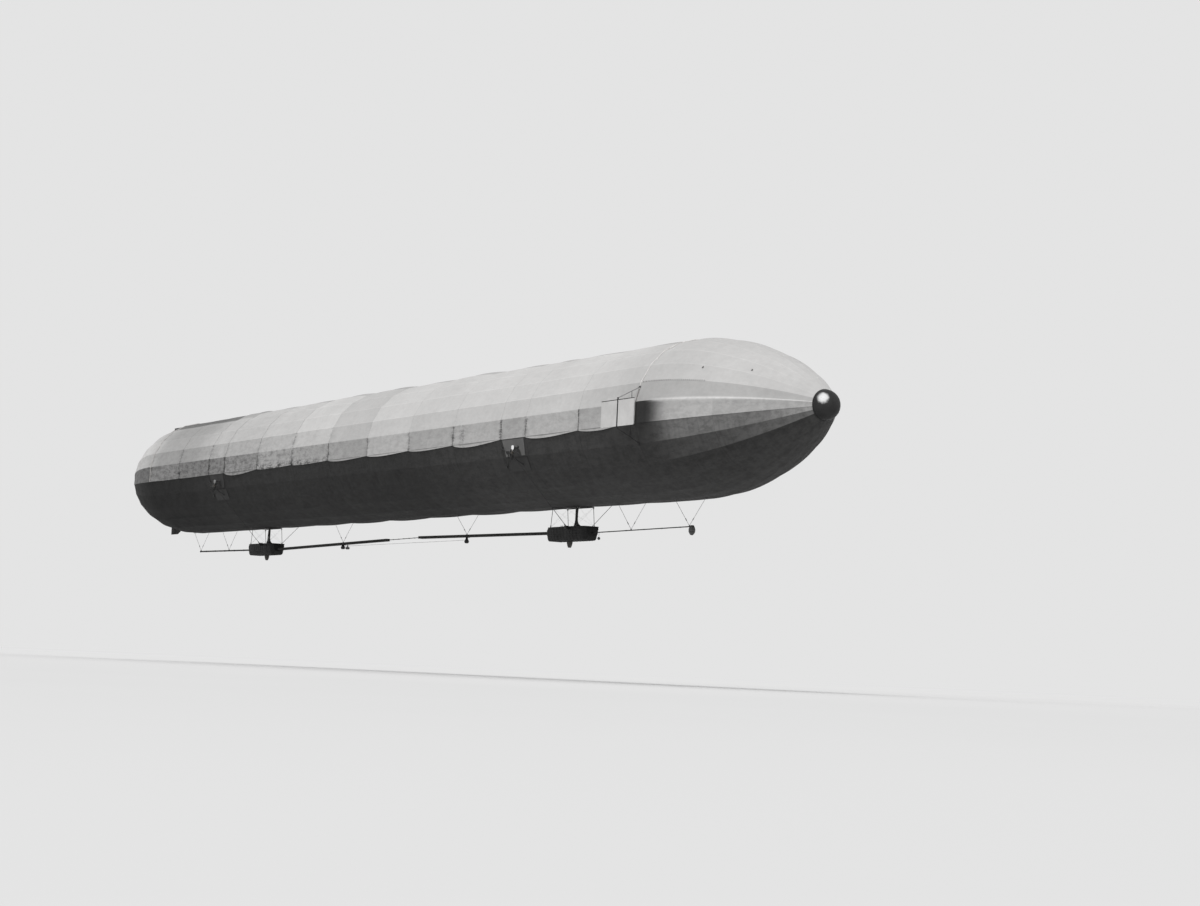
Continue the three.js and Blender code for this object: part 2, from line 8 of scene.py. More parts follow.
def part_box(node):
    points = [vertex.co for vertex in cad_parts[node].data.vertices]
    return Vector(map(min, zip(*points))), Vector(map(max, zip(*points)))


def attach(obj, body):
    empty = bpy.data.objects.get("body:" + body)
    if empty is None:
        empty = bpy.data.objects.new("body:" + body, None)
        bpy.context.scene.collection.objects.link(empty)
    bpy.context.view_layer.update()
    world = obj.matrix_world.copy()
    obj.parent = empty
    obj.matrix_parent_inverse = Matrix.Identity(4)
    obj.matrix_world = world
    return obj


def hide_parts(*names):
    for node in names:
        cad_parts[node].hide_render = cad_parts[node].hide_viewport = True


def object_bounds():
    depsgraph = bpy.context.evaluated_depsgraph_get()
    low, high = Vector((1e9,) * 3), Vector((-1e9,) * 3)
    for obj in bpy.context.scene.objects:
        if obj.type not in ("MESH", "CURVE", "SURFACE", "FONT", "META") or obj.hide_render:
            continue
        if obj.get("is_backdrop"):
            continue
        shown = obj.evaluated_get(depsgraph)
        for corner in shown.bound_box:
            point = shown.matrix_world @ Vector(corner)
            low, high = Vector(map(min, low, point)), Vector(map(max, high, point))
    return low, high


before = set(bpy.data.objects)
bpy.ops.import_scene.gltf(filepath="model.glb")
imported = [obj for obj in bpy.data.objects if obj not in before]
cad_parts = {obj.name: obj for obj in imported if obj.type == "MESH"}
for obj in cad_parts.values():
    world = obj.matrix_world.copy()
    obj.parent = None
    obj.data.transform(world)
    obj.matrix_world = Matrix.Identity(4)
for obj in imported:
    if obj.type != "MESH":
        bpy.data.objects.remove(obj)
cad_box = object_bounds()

# View and stage.
# The ship floats over a plain pale floor. The eye is a hand's breadth above that floor, far out on the
# port quarter, and looks up a little past the stern. A wide soft lamp hangs high over the stern.
EYE = (-19.695, 9.842, -1.885)
HEADING, TILT, ROLL = (math.radians(degrees) for degrees in (238.91, 5.147, 2.534))
FLOOR_Z = EYE[2] - 0.065
scene = bpy.context.scene
scene.view_settings.view_transform = "Standard"


def in_scene(name, data, place=None):
    """An object of that data in the scene, placed by a 4 by 4 matrix."""
    made = bpy.data.objects.new(name, data)
    scene.collection.objects.link(made)
    if place is not None:
        made.matrix_world = place
    return made


eye = bpy.data.cameras.new("eye")
eye.lens, eye.sensor_width = 73.6, 36
eye.clip_end = 6000
heading = Matrix.Rotation(HEADING, 4, "Z") @ Matrix.Rotation(math.pi / 2 + TILT, 4, "X")
scene.camera = in_scene("eye", eye, Matrix.Translation(EYE) @ heading @ Matrix.Rotation(ROLL, 4, "Z"))

SKY_TONE = 0.775
sky = bpy.data.worlds.new("pale_studio")
sky.use_nodes = True
sky.node_tree.nodes["Background"].inputs["Color"].default_value = (SKY_TONE,) * 3 + (1,)
scene.world = sky

LAMP_PLACE, LAMP_AIM, LAMP_SIZE, LAMP_POWER = Vector((-18.1, 13.4, 17.6)), Vector((-6.4, 0, 0)), 9.0, 3600
lamp = bpy.data.lights.new("soft_lamp", "AREA")
lamp.size, lamp.energy = LAMP_SIZE, LAMP_POWER
facing = (LAMP_AIM - LAMP_PLACE).to_track_quat("-Z", "Y").to_matrix().to_4x4()
in_scene("soft_lamp", lamp, Matrix.Translation(LAMP_PLACE) @ facing)


def feed(tree, made, inputs):
    """Sets a node's inputs: one that is given an output is linked to it, and any other gets the value."""
    for key, value in inputs.items():
        if isinstance(value, bpy.types.NodeSocket):
            tree.links.new(value, made.inputs[key])
        else:
            made.inputs[key].default_value = value


def node(tree, kind, inputs, **settings):
    """A shader node with its settings and inputs."""
    made = tree.nodes.new(kind)
    for key, value in settings.items():
        setattr(made, key, value)
    feed(tree, made, inputs)
    return made


def new_material(name):
    """A material, its node tree, its Principled shader, and the place on the object that its nodes read."""
    made = bpy.data.materials.new(name)
    made.use_nodes = True
    tree = made.node_tree
    place = node(tree, "ShaderNodeTexCoord", {}).outputs["Object"]
    return made, tree, tree.nodes["Principled BSDF"], place


def maths(tree, operation, *values):
    """The output of one sum over one to three values or sockets."""
    return node(tree, "ShaderNodeMath", dict(enumerate(values)), operation=operation).outputs[0]


def product(tree, first, *others):
    """Values or sockets multiplied one after the other."""
    for other in others:
        first = maths(tree, "MULTIPLY", first, other)
    return first


def axes_of(tree, vector):
    """The three parts of a vector."""
    return node(tree, "ShaderNodeSeparateXYZ", {0: vector}).outputs[:3]


def stretched(tree, place, scale):
    """A place with each of its three parts multiplied by its own scale."""
    return node(tree, "ShaderNodeMapping", {"Vector": place, "Scale": scale}).outputs[0]


def ranged(tree, value, low, high, to_low, to_high, smooth=False):
    """A value carried from one span to another and held at its ends."""
    spans = {"Value": value, "From Min": low, "From Max": high, "To Min": to_low, "To Max": to_high}
    kind = "SMOOTHSTEP" if smooth else "LINEAR"
    return node(tree, "ShaderNodeMapRange", spans, interpolation_type=kind).outputs[0]


def noise(tree, place, scale, detail=4.0, rough=0.55):
    """Cloudy noise from 0 to 1 at that many spots to the metre."""
    settings = {"Vector": place, "Scale": scale, "Detail": detail, "Roughness": rough}
    return node(tree, "ShaderNodeTexNoise", settings).outputs["Fac"]


NOISE_SPAN = (0.3, 0.7)


def cloudy(tree, place, low, high, scale, detail=4.0, rough=0.55):
    """Noise whose usual span is carried to low and high."""
    return ranged(tree, noise(tree, place, scale, detail, rough), *NOISE_SPAN, low, high)


def blended(tree, share, one, other, kind="MIX"):
    """Two colours mixed by a share from 0 to 1."""
    made = node(tree, "ShaderNodeMix", {0: share, 6: one, 7: other}, data_type="RGBA", blend_type=kind)
    return made.outputs[2]


def tinted(tree, colour, level):
    """The colour times a level that varies over the surface."""
    shades = node(tree, "ShaderNodeCombineColor", {0: level, 1: level, 2: level}).outputs[0]
    return blended(tree, 1.0, colour, shades, "MULTIPLY")


def grey(value, warmth=0.0):
    """A near-neutral colour: its red a little over and its blue a little under the value, by the warmth."""
    return (value * (1 + warmth), value, value * (1 - warmth), 1)


def bumped(tree, shader, height, distance, strength):
    """The shader's normal tilted by a height, in metres at full strength."""
    bump = node(tree, "ShaderNodeBump", {"Height": height, "Distance": distance, "Strength": strength})
    feed(tree, shader, {"Normal": bump.outputs[0]})


# The floor is painted darker where the lamp lights it more, by the lamp's fall with distance and slant, so
# that it meets the sky in an even tone.
FLOOR_HALF, FLOOR_TONE = 3000, 0.775
floor_mesh = bpy.data.meshes.new("floor")
corners = [(x, y, FLOOR_Z) for x, y in ((-1, -1), (1, -1), (1, 1), (-1, 1))]
floor_mesh.from_pydata([(x * FLOOR_HALF, y * FLOOR_HALF, z) for x, y, z in corners], [], [(0, 1, 2, 3)])
floor = in_scene("floor", floor_mesh)
floor_paint, tree, shader, place = new_material("pale_floor")
from_lamp = node(tree, "ShaderNodeVectorMath", {0: place, 1: LAMP_PLACE}, operation="SUBTRACT").outputs[0]
aim = (LAMP_AIM - LAMP_PLACE).normalized()
ahead = node(tree, "ShaderNodeVectorMath", {0: from_lamp, 1: aim}, operation="DOT_PRODUCT").outputs["Value"]
squared = node(tree, "ShaderNodeVectorMath", {0: from_lamp, 1: from_lamp},
               operation="DOT_PRODUCT").outputs["Value"]
strength = LAMP_POWER / math.pi**2 * (LAMP_PLACE.z - FLOOR_Z)
lamp_light = maths(tree, "DIVIDE", product(tree, maths(tree, "MAXIMUM", ahead, 0.0), strength),
                   product(tree, squared, squared))
pale = maths(tree, "DIVIDE", FLOOR_TONE, maths(tree, "ADD", SKY_TONE, lamp_light))
patchy = product(tree, pale, cloudy(tree, place, 0.985, 1.015, 0.15))
shades = node(tree, "ShaderNodeCombineColor", {0: patchy, 1: patchy, 2: patchy}).outputs[0]
feed(tree, shader, {"Base Color": shades, "Roughness": 0.9, "Specular IOR Level": 0})
see_through = node(tree, "ShaderNodeBsdfTransparent", {})
under = node(tree, "ShaderNodeNewGeometry", {}).outputs["Backfacing"]
pick = node(tree, "ShaderNodeMixShader", {0: under, 1: shader.outputs[0], 2: see_through.outputs[0]})
tree.links.new(pick.outputs[0], tree.nodes["Material Output"].inputs["Surface"])
floor_mesh.materials.append(floor_paint)
floor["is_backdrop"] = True

# Upper cover.
# Doped cotton, pale, drawn over the 24-sided frame from port to starboard and sewn to each ring frame.
# It swells a little between the rings, and its lower edge hangs free in scallops as a loose hem.
FACET = math.radians(15)
SPLIT = FACET / 2
HULL_RADIUS, CYLINDER_END, OGIVE_LENGTH = 0.585, 4.8, 1.613
OGIVE_POWER, OGIVE_ROUNDNESS = 1.95, 0.84
CAP_RIM = 6.3
BAY_ENDS = np.array([0.4, 1.2, 2.0, 2.8, 3.2, 4.0, 4.8, 5.6, CAP_RIM])
FRAMES = np.concatenate([-BAY_ENDS[::-1], BAY_ENDS])
SECTIONS = {
    "midship": (-1.2, 1.2),
    "fore_mid": (1.2, 2.8),
    "fore": (2.8, 4.8),
    "aft_mid": (-2.8, -1.2),
    "aft": (-4.8, -2.8),
    "bow_ogive": (4.8, CAP_RIM),
    "stern_ogive": (-CAP_RIM, -4.8),
}
CLOTH_THICKNESS, CLOTH_WEAVE, CLOTH_ROUGH = 0.0015, 0.0025, 0.85
SHORTEST_HEM, HEM_DISH, UPPER_DISH = 0.004, 0.006, 0.005
RIDGE_HEIGHT, RIDGE_HALF = 0.0012, 0.006
GATHER_DEPTH, GATHER_REACH, GATHERS_ROUND = 0.0007, 0.03, 150
WAVE_DEPTH = 0.0005
STEPS_PER_BAY = 24
FACET_ROWS = np.array([0, 0.02, 0.12, 0.3, 0.5, 0.7, 0.88, 0.98])
HEM_SHARES = np.array([1, 0.9, 0.65, 0.42, 0.3, 0.12])
# The hem's painted light and shade, from its foot up: lighter towards the curled foot, where light would
# catch it, and a dark painted shade line in the crease just under the ridge
HEM_LIGHT_AND_SHADE = np.array([1.12, 1.06, 1.02, 0.95, 0.52, 0.48])
HEM_AT_FRAME, HEM_AT_MIDDLE, HEM_END, HEM_FADE = 0.005, 0.036, 4.62, 0.25
SIDE_ROW, SECOND_ROW, NO_RIDGE_NEAR = 7.5, 22.5, 0.02
draws = np.random.default_rng(24)
# How far each bay swells: by chance, but more just aft of amidships, and hardly at all near the bow
SWELL = draws.uniform(0.003, 0.014, len(FRAMES) - 1)
SWELL[6:10] += 0.006
SWELL[FRAMES[1:] > 4] = 0.001
# Bay by bay from the stern, how deep the hem hangs; frame by frame, how blotted and how dark its seam is
DROP = np.array([0, 0, 0.6, 0.8, 0.1, 0.95, 0.5, 0.55, 0.55, 0.3, 0.3, 1.05, 0.15, 0.1, 0.05, 0, 0])
SEAM_STAIN = np.array([0, 0, 0, 0.35, 0.6, 0.85, 0.95, 0.6, 0.6, 0.6, 0.75, 0.5, 0.5, 0.95, 0.8, 0.5, 0.3,
                       0.3])
SEAM_INK = np.array([0, 0, 0, 0.85, 0.35, 0.35, 0.5, 0.45, 0.55, 0.8, 0.3, 0.9, 0.95, 0.3, 0.45, 0.2, 0, 0])
# The side strips' tones, bay by bay from the stern: darker in the fore half, and darker still on the bow
# ogive as painted shade
SIDE_TONES_AND_SHADE = np.array([0.66, 0.74, 0.68, 0.76, 0.66, 0.74, 0.69, 0.81, 0.63, 0.66, 0.68, 0.51, 0.4, 0.37,
                       0.43, 0.26, 0.25])
# The upper rows' age, bay by bay from the stern
BAY_TONES = np.array([1, 1, 1, 1, 1, 1, 0.99, 1.03, 0.9, 1.07, 0.98, 0.97, 0.97, 1.04, 1.05, 1, 1])


def hull_radius(x):
    """The full radius along the cylinder. Past its ends, one less a power of the way to the tip, to a
    power."""
    share = np.clip((np.abs(x) - CYLINDER_END) / OGIVE_LENGTH, 0, 1)
    return HULL_RADIUS * (1 - share**OGIVE_POWER) ** OGIVE_ROUNDNESS


def bay_of(x):
    """Each place's bay, its way through that bay from 0 to 1, the bay's length, and how far the nearer frame
    is."""
    bay = np.clip(np.searchsorted(FRAMES, x, side="right") - 1, 0, len(FRAMES) - 2)
    length = FRAMES[bay + 1] - FRAMES[bay]
    along = (x - FRAMES[bay]) / length
    return bay, along, length, np.minimum(along, 1 - along) * length


def across_facet(angle):
    """The way across a facet from 0 to 1, where facets meet at 7.5 degrees and every 15 from there."""
    return (angle / FACET + 0.5) % 1


def cloth_radius(x, angle, dish):
    """The flat side's distance from the axis at that angle, less a dish of the given depth that is
    greatest in the middle of each facet. Above and below, the bay swells as a half wave along it. A low
    ridge covers each frame, with gathers beside it, and slow waves run all over."""
    bay, along, _, gap = bay_of(x)
    taper = hull_radius(x) / HULL_RADIUS
    across = across_facet(angle)
    flat = math.cos(SPLIT) / np.cos((across - 0.5) * FACET)
    middle = np.sin(np.pi * along)
    hollow = dish * np.sin(np.pi * across) ** 2 * (0.35 + 0.65 * middle**2)
    swell = (SWELL[bay] * np.clip(middle, 0, 1) ** 0.8 * np.sin(angle) ** 2
             * np.where(np.sin(angle) > 0, 1, 0.6))
    ridge = RIDGE_HEIGHT * np.exp(-((gap / RIDGE_HALF) ** 2))
    gathers = GATHER_DEPTH * np.exp(-gap / GATHER_REACH) * np.sin(GATHERS_ROUND * angle + 5 * np.sin(9 * x))
    waves = np.sin(3.1 * x + 2.3 * angle) + np.sin(7.7 * x - 3.7 * angle + 1) + np.sin(13 * x + 5 * angle + 2)
    return hull_radius(x) * flat + taper * (ridge + gathers + swell - hollow + WAVE_DEPTH * (waves - 3))


def stations(low, high):
    """Places from low to high that crowd together beside each frame between them."""
    inner = FRAMES[(FRAMES > low + 1e-6) & (FRAMES < high - 1e-6)]
    ends = np.concatenate([[low], inner, [high]])
    share = np.arange(STEPS_PER_BAY) / STEPS_PER_BAY
    share = share - 0.9 * np.sin(2 * np.pi * share) / (2 * np.pi)
    spots = ends[:-1, None] + (ends[1:] - ends[:-1])[:, None] * share
    return np.append(spots.ravel(), high)


def facet_angles(first, count):
    """Angles over so many facets from the first ridge on, close together beside every ridge."""
    whole = np.arange(count)[:, None] + FACET_ROWS
    return first + FACET * np.append(whole.ravel(), count)


def hem_length(x):
    """How far the loose edge hangs: least at the frames, then a flat-bottomed scallop that drops quickly
    at its bow end, shallow in short bays, gone at the hull's ends."""
    bay, along, length, _ = bay_of(x)
    scallop = (DROP[bay] * np.clip(np.sin(np.pi * along**1.7), 0, 1) ** 0.6
               * np.minimum(1, length / 0.8) ** 1.5)
    fade = np.clip((HEM_END - np.abs(x)) / HEM_FADE, 0, 1)
    return SHORTEST_HEM + fade * (HEM_AT_FRAME - SHORTEST_HEM + (HEM_AT_MIDDLE - HEM_AT_FRAME) * scallop)


def hem_point(x, share):
    """The port edge: from the last ridge down by a share of the hem's length, leaning in a little, with its
    foot curled outwards and rippled."""
    fall = hem_length(x) * share
    r = cloth_radius(x, -SPLIT + 0 * x, HEM_DISH)
    y = r * math.cos(SPLIT) - 0.1 * fall + 0.06 * fall * share * (1 + np.sin(41 * x) * np.sin(17 * x + 2))
    return np.stack([x, y, -r * math.sin(SPLIT) - fall], -1)


def about_axis(x, radius, angle):
    """Points at x along the ship, that far from its axis, and at that angle up from port."""
    return np.stack([x, radius * np.cos(angle), radius * np.sin(angle)], -1)


def round_to(x, angle, dish, lift=0.0):
    """The cloth's points on a grid of places along the axis by angles about it."""
    x, angle = np.meshgrid(x, angle, indexing="ij")
    return about_axis(x, cloth_radius(x, angle, dish) + lift, angle)


def cover_piece(name, grid, fields, finish):
    """A sheet through a grid of points, with a wall, its own map in metres along and round the hull, and the
    fields that its finish reads: how far the nearest frame and ridge are, tone, stain and seam."""
    rows, columns = grid.shape[:2]
    index = np.arange(rows * columns).reshape(rows, columns)
    quads = np.stack([index[:-1, :-1], index[:-1, 1:], index[1:, 1:], index[1:, :-1]], -1).reshape(-1, 4)
    middle = grid[rows // 2, columns // 2]
    edge_a = grid[rows // 2, columns // 2 + 1] - middle
    edge_b = grid[rows // 2 + 1, columns // 2] - middle
    if np.cross(edge_a, edge_b) @ [0, middle[1], middle[2]] < 0:
        quads = quads[:, ::-1]
    mesh = bpy.data.meshes.new(name)
    mesh.from_pydata(grid.reshape(-1, 3).tolist(), [], quads.tolist())
    mesh.polygons.foreach_set("use_smooth", np.ones(len(quads), bool))
    girth = np.zeros((rows, columns))
    girth[:, 1:] = np.cumsum(np.linalg.norm(np.diff(grid, axis=1), axis=2), axis=1)
    places = np.stack([grid[..., 0], girth], -1).reshape(-1, 2)
    chart = mesh.uv_layers.new(name="Cloth")
    chart.data.foreach_set("uv", places[quads.ravel()].astype(np.float32).ravel())
    for key, values in fields.items():
        kept = mesh.attributes.new(key, "FLOAT", "POINT")
        kept.data.foreach_set("value", np.broadcast_to(values, (rows, columns)).astype(np.float32).ravel())
    mesh.materials.append(finish)
    made = in_scene(name, mesh)
    wall = made.modifiers.new("wall", "SOLIDIFY")
    wall.thickness, wall.offset, wall.use_even_offset = CLOTH_THICKNESS, -1, True
    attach(made, "ship")
    return made


def cloth_finish(name, colour, streaks, ridge_glint=1.1, gloss=0.2, sheen=0.1):
    """Doped cloth: its colour times the tone, which also carries painted light and shade, cloudy, faintly
    streaked round the girth, and blotted where it is stained. Over each frame it has a mottled dark seam, on
    each ridge a painted highlight, and its weave is bump."""
    made, tree, shader, place = new_material(name)
    chart = node(tree, "ShaderNodeTexCoord", {}).outputs["UV"]

    def value(key):
        return node(tree, "ShaderNodeAttribute", {}, attribute_name=key).outputs["Fac"]

    def lessened(share, amount):
        return maths(tree, "SUBTRACT", 1.0, product(tree, share, amount))

    clouds = cloudy(tree, place, 0.94, 1.05, 1.9, 6)
    fine = cloudy(tree, place, 0.96, 1.03, 24, 5, 0.65)
    runs = ranged(tree, noise(tree, stretched(tree, chart, (34, 2.2, 1)), 1.0, 4), 0.35, 0.75, 1.0,
                  1.0 - streaks)
    blots = ranged(tree, noise(tree, stretched(tree, place, (0.4, 1, 1)), 26, 9, 0.78), 0.44, 0.6, 0.0, 1.0)
    seam = ranged(tree, value("frame_gap"), 0.0025, 0.006, 1.0, 0.0)
    worn = ranged(tree, noise(tree, place, 70, 4, 0.6), 0.4, 0.58, 0.25, 1.0)
    # Painted highlight: the cloth is lighter within a few millimetres of each ridge.
    ridge = ranged(tree, value("ridge_gap"), 0.001, 0.006, ridge_glint, 1.0, smooth=True)
    shade = product(tree, value("tone"), clouds, fine, runs, lessened(blots, value("stain")),
                    lessened(product(tree, seam, worn), value("seam")), ridge)
    feed(tree, shader, {"Base Color": tinted(tree, colour, shade), "Specular IOR Level": gloss,
                        "Sheen Weight": sheen,
                        "Roughness": cloudy(tree, place, CLOTH_ROUGH - 0.08, CLOTH_ROUGH + 0.08, 9)})
    split = axes_of(tree, stretched(tree, chart, (1 / CLOTH_WEAVE, 1 / CLOTH_WEAVE, 1)))
    warp, weft = (maths(tree, "SINE", product(tree, axis, 2 * math.pi)) for axis in split[:2])
    creases = maths(tree, "ADD", noise(tree, place, 7, 5), product(tree, runs, 0.6))
    bumped(tree, shader, maths(tree, "ADD", creases, product(tree, warp, weft, 0.12)), 0.004, 0.45)
    return made


def smooth_step(x, low, high):
    """From 0 to 1 between low and high, with no corner at either."""
    share = np.clip((x - low) / (high - low), 0, 1)
    return share * share * (3 - 2 * share)


def above_side(angle):
    """How many degrees a place lies above the axis on its own side, less than 0 below it."""
    return np.degrees(np.where(np.cos(angle) < 0, np.pi - angle, angle))


def near_frames(x, reach):
    """How strongly each place takes its nearer frame's stain, which fades over the reach."""
    bay, along, _, gap = bay_of(x)
    return SEAM_STAIN[bay + (along > 0.5)] * np.exp(-((gap / reach) ** 2))


def painted_rudder_shadow(x):
    """A painted shadow of each rudder on the stern ogive: a soft dark patch, deepest at the seam, gone in 0.4
    m.
    """
    return smooth_step(-x, CYLINDER_END - 0.005, CYLINDER_END + 0.005) * smooth_step(-x, 5.2, 4.93)


def taped(x):
    """1 on the tape beside the seam between the stern ogive and the cylinder, and 0 beyond it."""
    return smooth_step(np.abs(x + CYLINDER_END), 0.01, 0.006)


def upper_tone(x, angle):
    """Full tone above, less on the last bays before the bow and on the stern ogive, and brightest on the bow
    ogive. The top panels are darker, most so at the bow, and the second row is a little less than the
    third. The lowest row has the side strips' tones, with a painted shadow behind each rudder. A pale tape
    lies beside the stern ogive's seam, and a painted highlight runs along that ogive's first ridge."""
    row = above_side(angle)
    # Painted shadow: the lowest row is darkened behind each rudder.
    side = SIDE_TONES_AND_SHADE[bay_of(x)[0]] * (1 - 0.95 * painted_rudder_shadow(x))
    upper = (1 - 0.3 * smooth_step(x, 2.9, 3.8) + 0.48 * smooth_step(x, 4.5, 5.2)
             - 0.15 * smooth_step(-x, 3.6, 5))
    second = 0.93 - 0.1 * smooth_step(x, 0, 2.4) - 0.1 * smooth_step(-x, 4.4, 5.4)
    crown = (1 - (0.2 * smooth_step(x, 2.79, 2.81) + 0.42 * smooth_step(x, 3.19, 3.21))
             * smooth_step(row, 57.5, 59.5))
    crown = crown * (1 - 0.1 * smooth_step(x, 3.19, 3.21) * smooth_step(row, 37.3, 37.7))
    crown = crown * (1 - 0.22 * smooth_step(row, 67.2, 67.8) * smooth_step(x, -4.81, -4.79))
    upper = upper * crown * BAY_TONES[bay_of(x)[0]] * (1 + 0.14 * taped(x))
    tone = np.where(row < SIDE_ROW, side, np.where(row < SECOND_ROW, second * upper, upper))
    # Painted highlight along the stern ogive's first ridge.
    painted_ridge_highlight = (np.abs(row - SIDE_ROW) < 0.4) * smooth_step(-x, 4.9, 5.15)
    return tone + painted_ridge_highlight * (1.05 - tone)


def upper_stain(x, angle):
    """Blots: many on the lowest row, more towards the bow and beside its frames, and few elsewhere."""
    row = above_side(angle)
    side = 0.18 + 0.38 * smooth_step(x, -0.6, 2.4) + 0.75 * near_frames(x, 0.028)
    side = (side + 0.6 * np.exp(-(((x + 2.15) / 0.03) ** 2)) + 0.5 * smooth_step(row, -3, -7)
            * (np.abs(x - 1.2) < 0.8))
    second = 0.06 + 0.12 * smooth_step(x, -0.6, 2.4) + 0.45 * near_frames(x, 0.03) * smooth_step(x, -1.5, 1.5)
    upper = 0.04 + 0.05 * smooth_step(x, 0, 3)
    return np.where(row < SIDE_ROW, side, np.where(row < SECOND_ROW, second, upper))


pale_cloth = cloth_finish("pale_doped_cotton", grey(0.56, 0.01), streaks=0.02)
for name, (low, high) in SECTIONS.items():
    x = stations(low, high)
    angle = facet_angles(-SPLIT, 13)
    top = round_to(x, angle, UPPER_DISH)
    port = hem_point(x[:, None] + 0 * HEM_SHARES, HEM_SHARES + 0 * x[:, None])
    starboard = port[:, ::-1] * [1, -1, 1]
    grid = np.concatenate([port, top, starboard], axis=1)
    hem = len(HEM_SHARES)
    angles = np.concatenate([np.full(hem, -SPLIT), angle, np.full(hem, math.pi + SPLIT)])[None]
    places = x[:, None]
    ridge_gap = np.minimum(across_facet(angles), 1 - across_facet(angles)) * FACET * HULL_RADIUS
    ridge_gap[:, :hem] = ridge_gap[:, -hem:] = NO_RIDGE_NEAR
    tone = upper_tone(places, angles)
    # The hem takes its painted light and shade where it hangs free
    hangs = smooth_step(hem_length(x), 0.006, 0.014)[:, None]
    tone[:, :hem] *= 1 + (HEM_LIGHT_AND_SHADE - 1) * hangs
    tone[:, -hem:] *= (1 + (HEM_LIGHT_AND_SHADE - 1) * hangs)[:, ::-1]
    row = above_side(angles)
    inner = np.abs(places) < 4.7
    bay, along = bay_of(places)[:2]
    fore_half = smooth_step(places, 0.2, 2)
    seam = np.where(row < SIDE_ROW, SEAM_INK[bay + (along > 0.5)], (0.2 + 0.35 * fore_half) * inner)
    fields = {
        "frame_gap": bay_of(x)[3][:, None] * np.where(row < SIDE_ROW, 0.5, 1 - 0.4 * fore_half),
        "ridge_gap": ridge_gap,
        "tone": tone,
        "stain": upper_stain(places, angles),
        "seam": seam,
    }
    made = cover_piece(f"{name}_upper_cloth", grid, fields, pale_cloth)
    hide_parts(f"{name}_cover_upper")

# Lower cover.
# Dark doped cotton over the lower eleven facets. Its upper edge is tucked under the pale cover's hem, and
# it is sewn to the same frames; on the ogives the first rows are paler, partly the cloth's own tone and
# partly painted light.
LOWER_DISH, LOWER_LIFT, TUCK, THIRD_ROW = 0.003, -0.0017, math.radians(1), 37.5


def lower_tone(x, angle):
    """Palest at the stern and a little darker to the bow. On each ogive the first two rows are paler, partly
    as painted light, more so towards the tip; the cloth behind the rudders stays dark, in their painted
    shadow."""
    row = -above_side(np.where(angle < -math.pi / 2, -math.pi - angle, angle))
    far = np.abs(x)
    # Painted light on the ogives' first rows, weak on the bow ogive and left out behind the rudders
    onto = smooth_step(far, 4.95, 5.25) * np.where(x > 0, 0.25, 1)
    tip = smooth_step(far, 5.4, 6.3)
    very_tip = smooth_step(far, 5.9, 6.35)
    first = (row < SECOND_ROW) * (0.12 + onto * (2.75 + 3.4 * very_tip))
    second = ((row >= SECOND_ROW) & (row < THIRD_ROW)) * onto * (0.6 + 1.4 * tip)
    aft = 1 + 0.5 * smooth_step(-x, 0.8, 2.6) + 0.15 * smooth_step(-x, 4.6, 6.2)
    aft = aft * (1 + 0.2 * smooth_step(-x, 1.2, 2.4) * smooth_step(row, 40, 60))
    fore = (1 - 0.1 * smooth_step(x, 1, 3) - 0.4 * smooth_step(x, 2.8, 4.4) - 0.15 * smooth_step(x, 2.6, 4)
            * (row > 50))
    return (1 + first + second) * aft * fore


dark_cloth = cloth_finish("dark_doped_cotton", grey(0.028, 0.01), streaks=0.2, ridge_glint=1.06, gloss=0.1,
                          sheen=0.03)
for name, (low, high) in SECTIONS.items():
    x = stations(low, high)
    angle = facet_angles(SPLIT - math.pi, 11)
    angle = np.concatenate([[SPLIT - TUCK - math.pi], angle, [TUCK - SPLIT]])
    grid = round_to(x, angle, LOWER_DISH, LOWER_LIFT)
    fields = {
        "frame_gap": bay_of(x)[3][:, None],
        "ridge_gap": (np.minimum(across_facet(angle), 1 - across_facet(angle)) * FACET * HULL_RADIUS)[None],
        "tone": lower_tone(x[:, None], angle[None]),
        "stain": 0.3,
        "seam": 0.25,
    }
    made = cover_piece(f"{name}_lower_cloth", grid, fields, dark_cloth)
    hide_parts(f"{name}_cover_lower")

# Nose caps.
# A dull spun sheet-metal cap closes each end, with a painted highlight in a patch on its port side. Six gores
# overlap under flat straps, and a rolled flange with a ring of rivets holds it on the frame's last ring.
CAP_GORES, CAP_RIVETS, RIVET_RADIUS = 6, 36, 0.0011
TIP_FLAT, FLANGE_WIDTH, STRAP_HALF = 0.012, 0.006, 0.0035
METAL_GRAIN = (8, 150, 150)
# Where the painted highlight sits on either cap, within what distance it is full, and where it is gone
HIGHLIGHT_AT, HIGHLIGHT_WITHIN, HIGHLIGHT_GONE_AT = (6.366, 0.066, 0.042), 0.032, 0.06


def loft(rings, closed=False, open_edge=False):
    """Rings with the same number of points, joined one to the next by quads. The two ends are filled, or
    else the last ring is joined to the first; an open edge leaves out each ring's last stretch. A form is
    its points and a list of arrays of faces, and the sign of its volume turns the faces outwards."""
    rings = np.asarray(rings, float)
    points = rings.reshape(-1, 3)
    index = np.arange(len(points)).reshape(rings.shape[:2])
    near, far = (index, np.roll(index, -1, axis=0)) if closed else (index[:-1], index[1:])
    quads = np.stack([near, np.roll(near, -1, axis=1), np.roll(far, -1, axis=1), far], -1)
    if open_edge:
        quads = quads[:, :-1]
    quads = quads.reshape(-1, 4)
    a, b, c, d = (points[quads[:, k]] - points.mean(axis=0) for k in range(4))
    groups = [quads] if closed else [quads, index[:1, ::-1], index[-1:]]
    if (a * (np.cross(b, c) + np.cross(c, d))).sum() < 0:
        groups = [group[:, ::-1] for group in groups]
    return points, groups


def angles_round(count):
    """So many angles evenly round a whole turn."""
    return np.arange(count) * 2 * np.pi / count


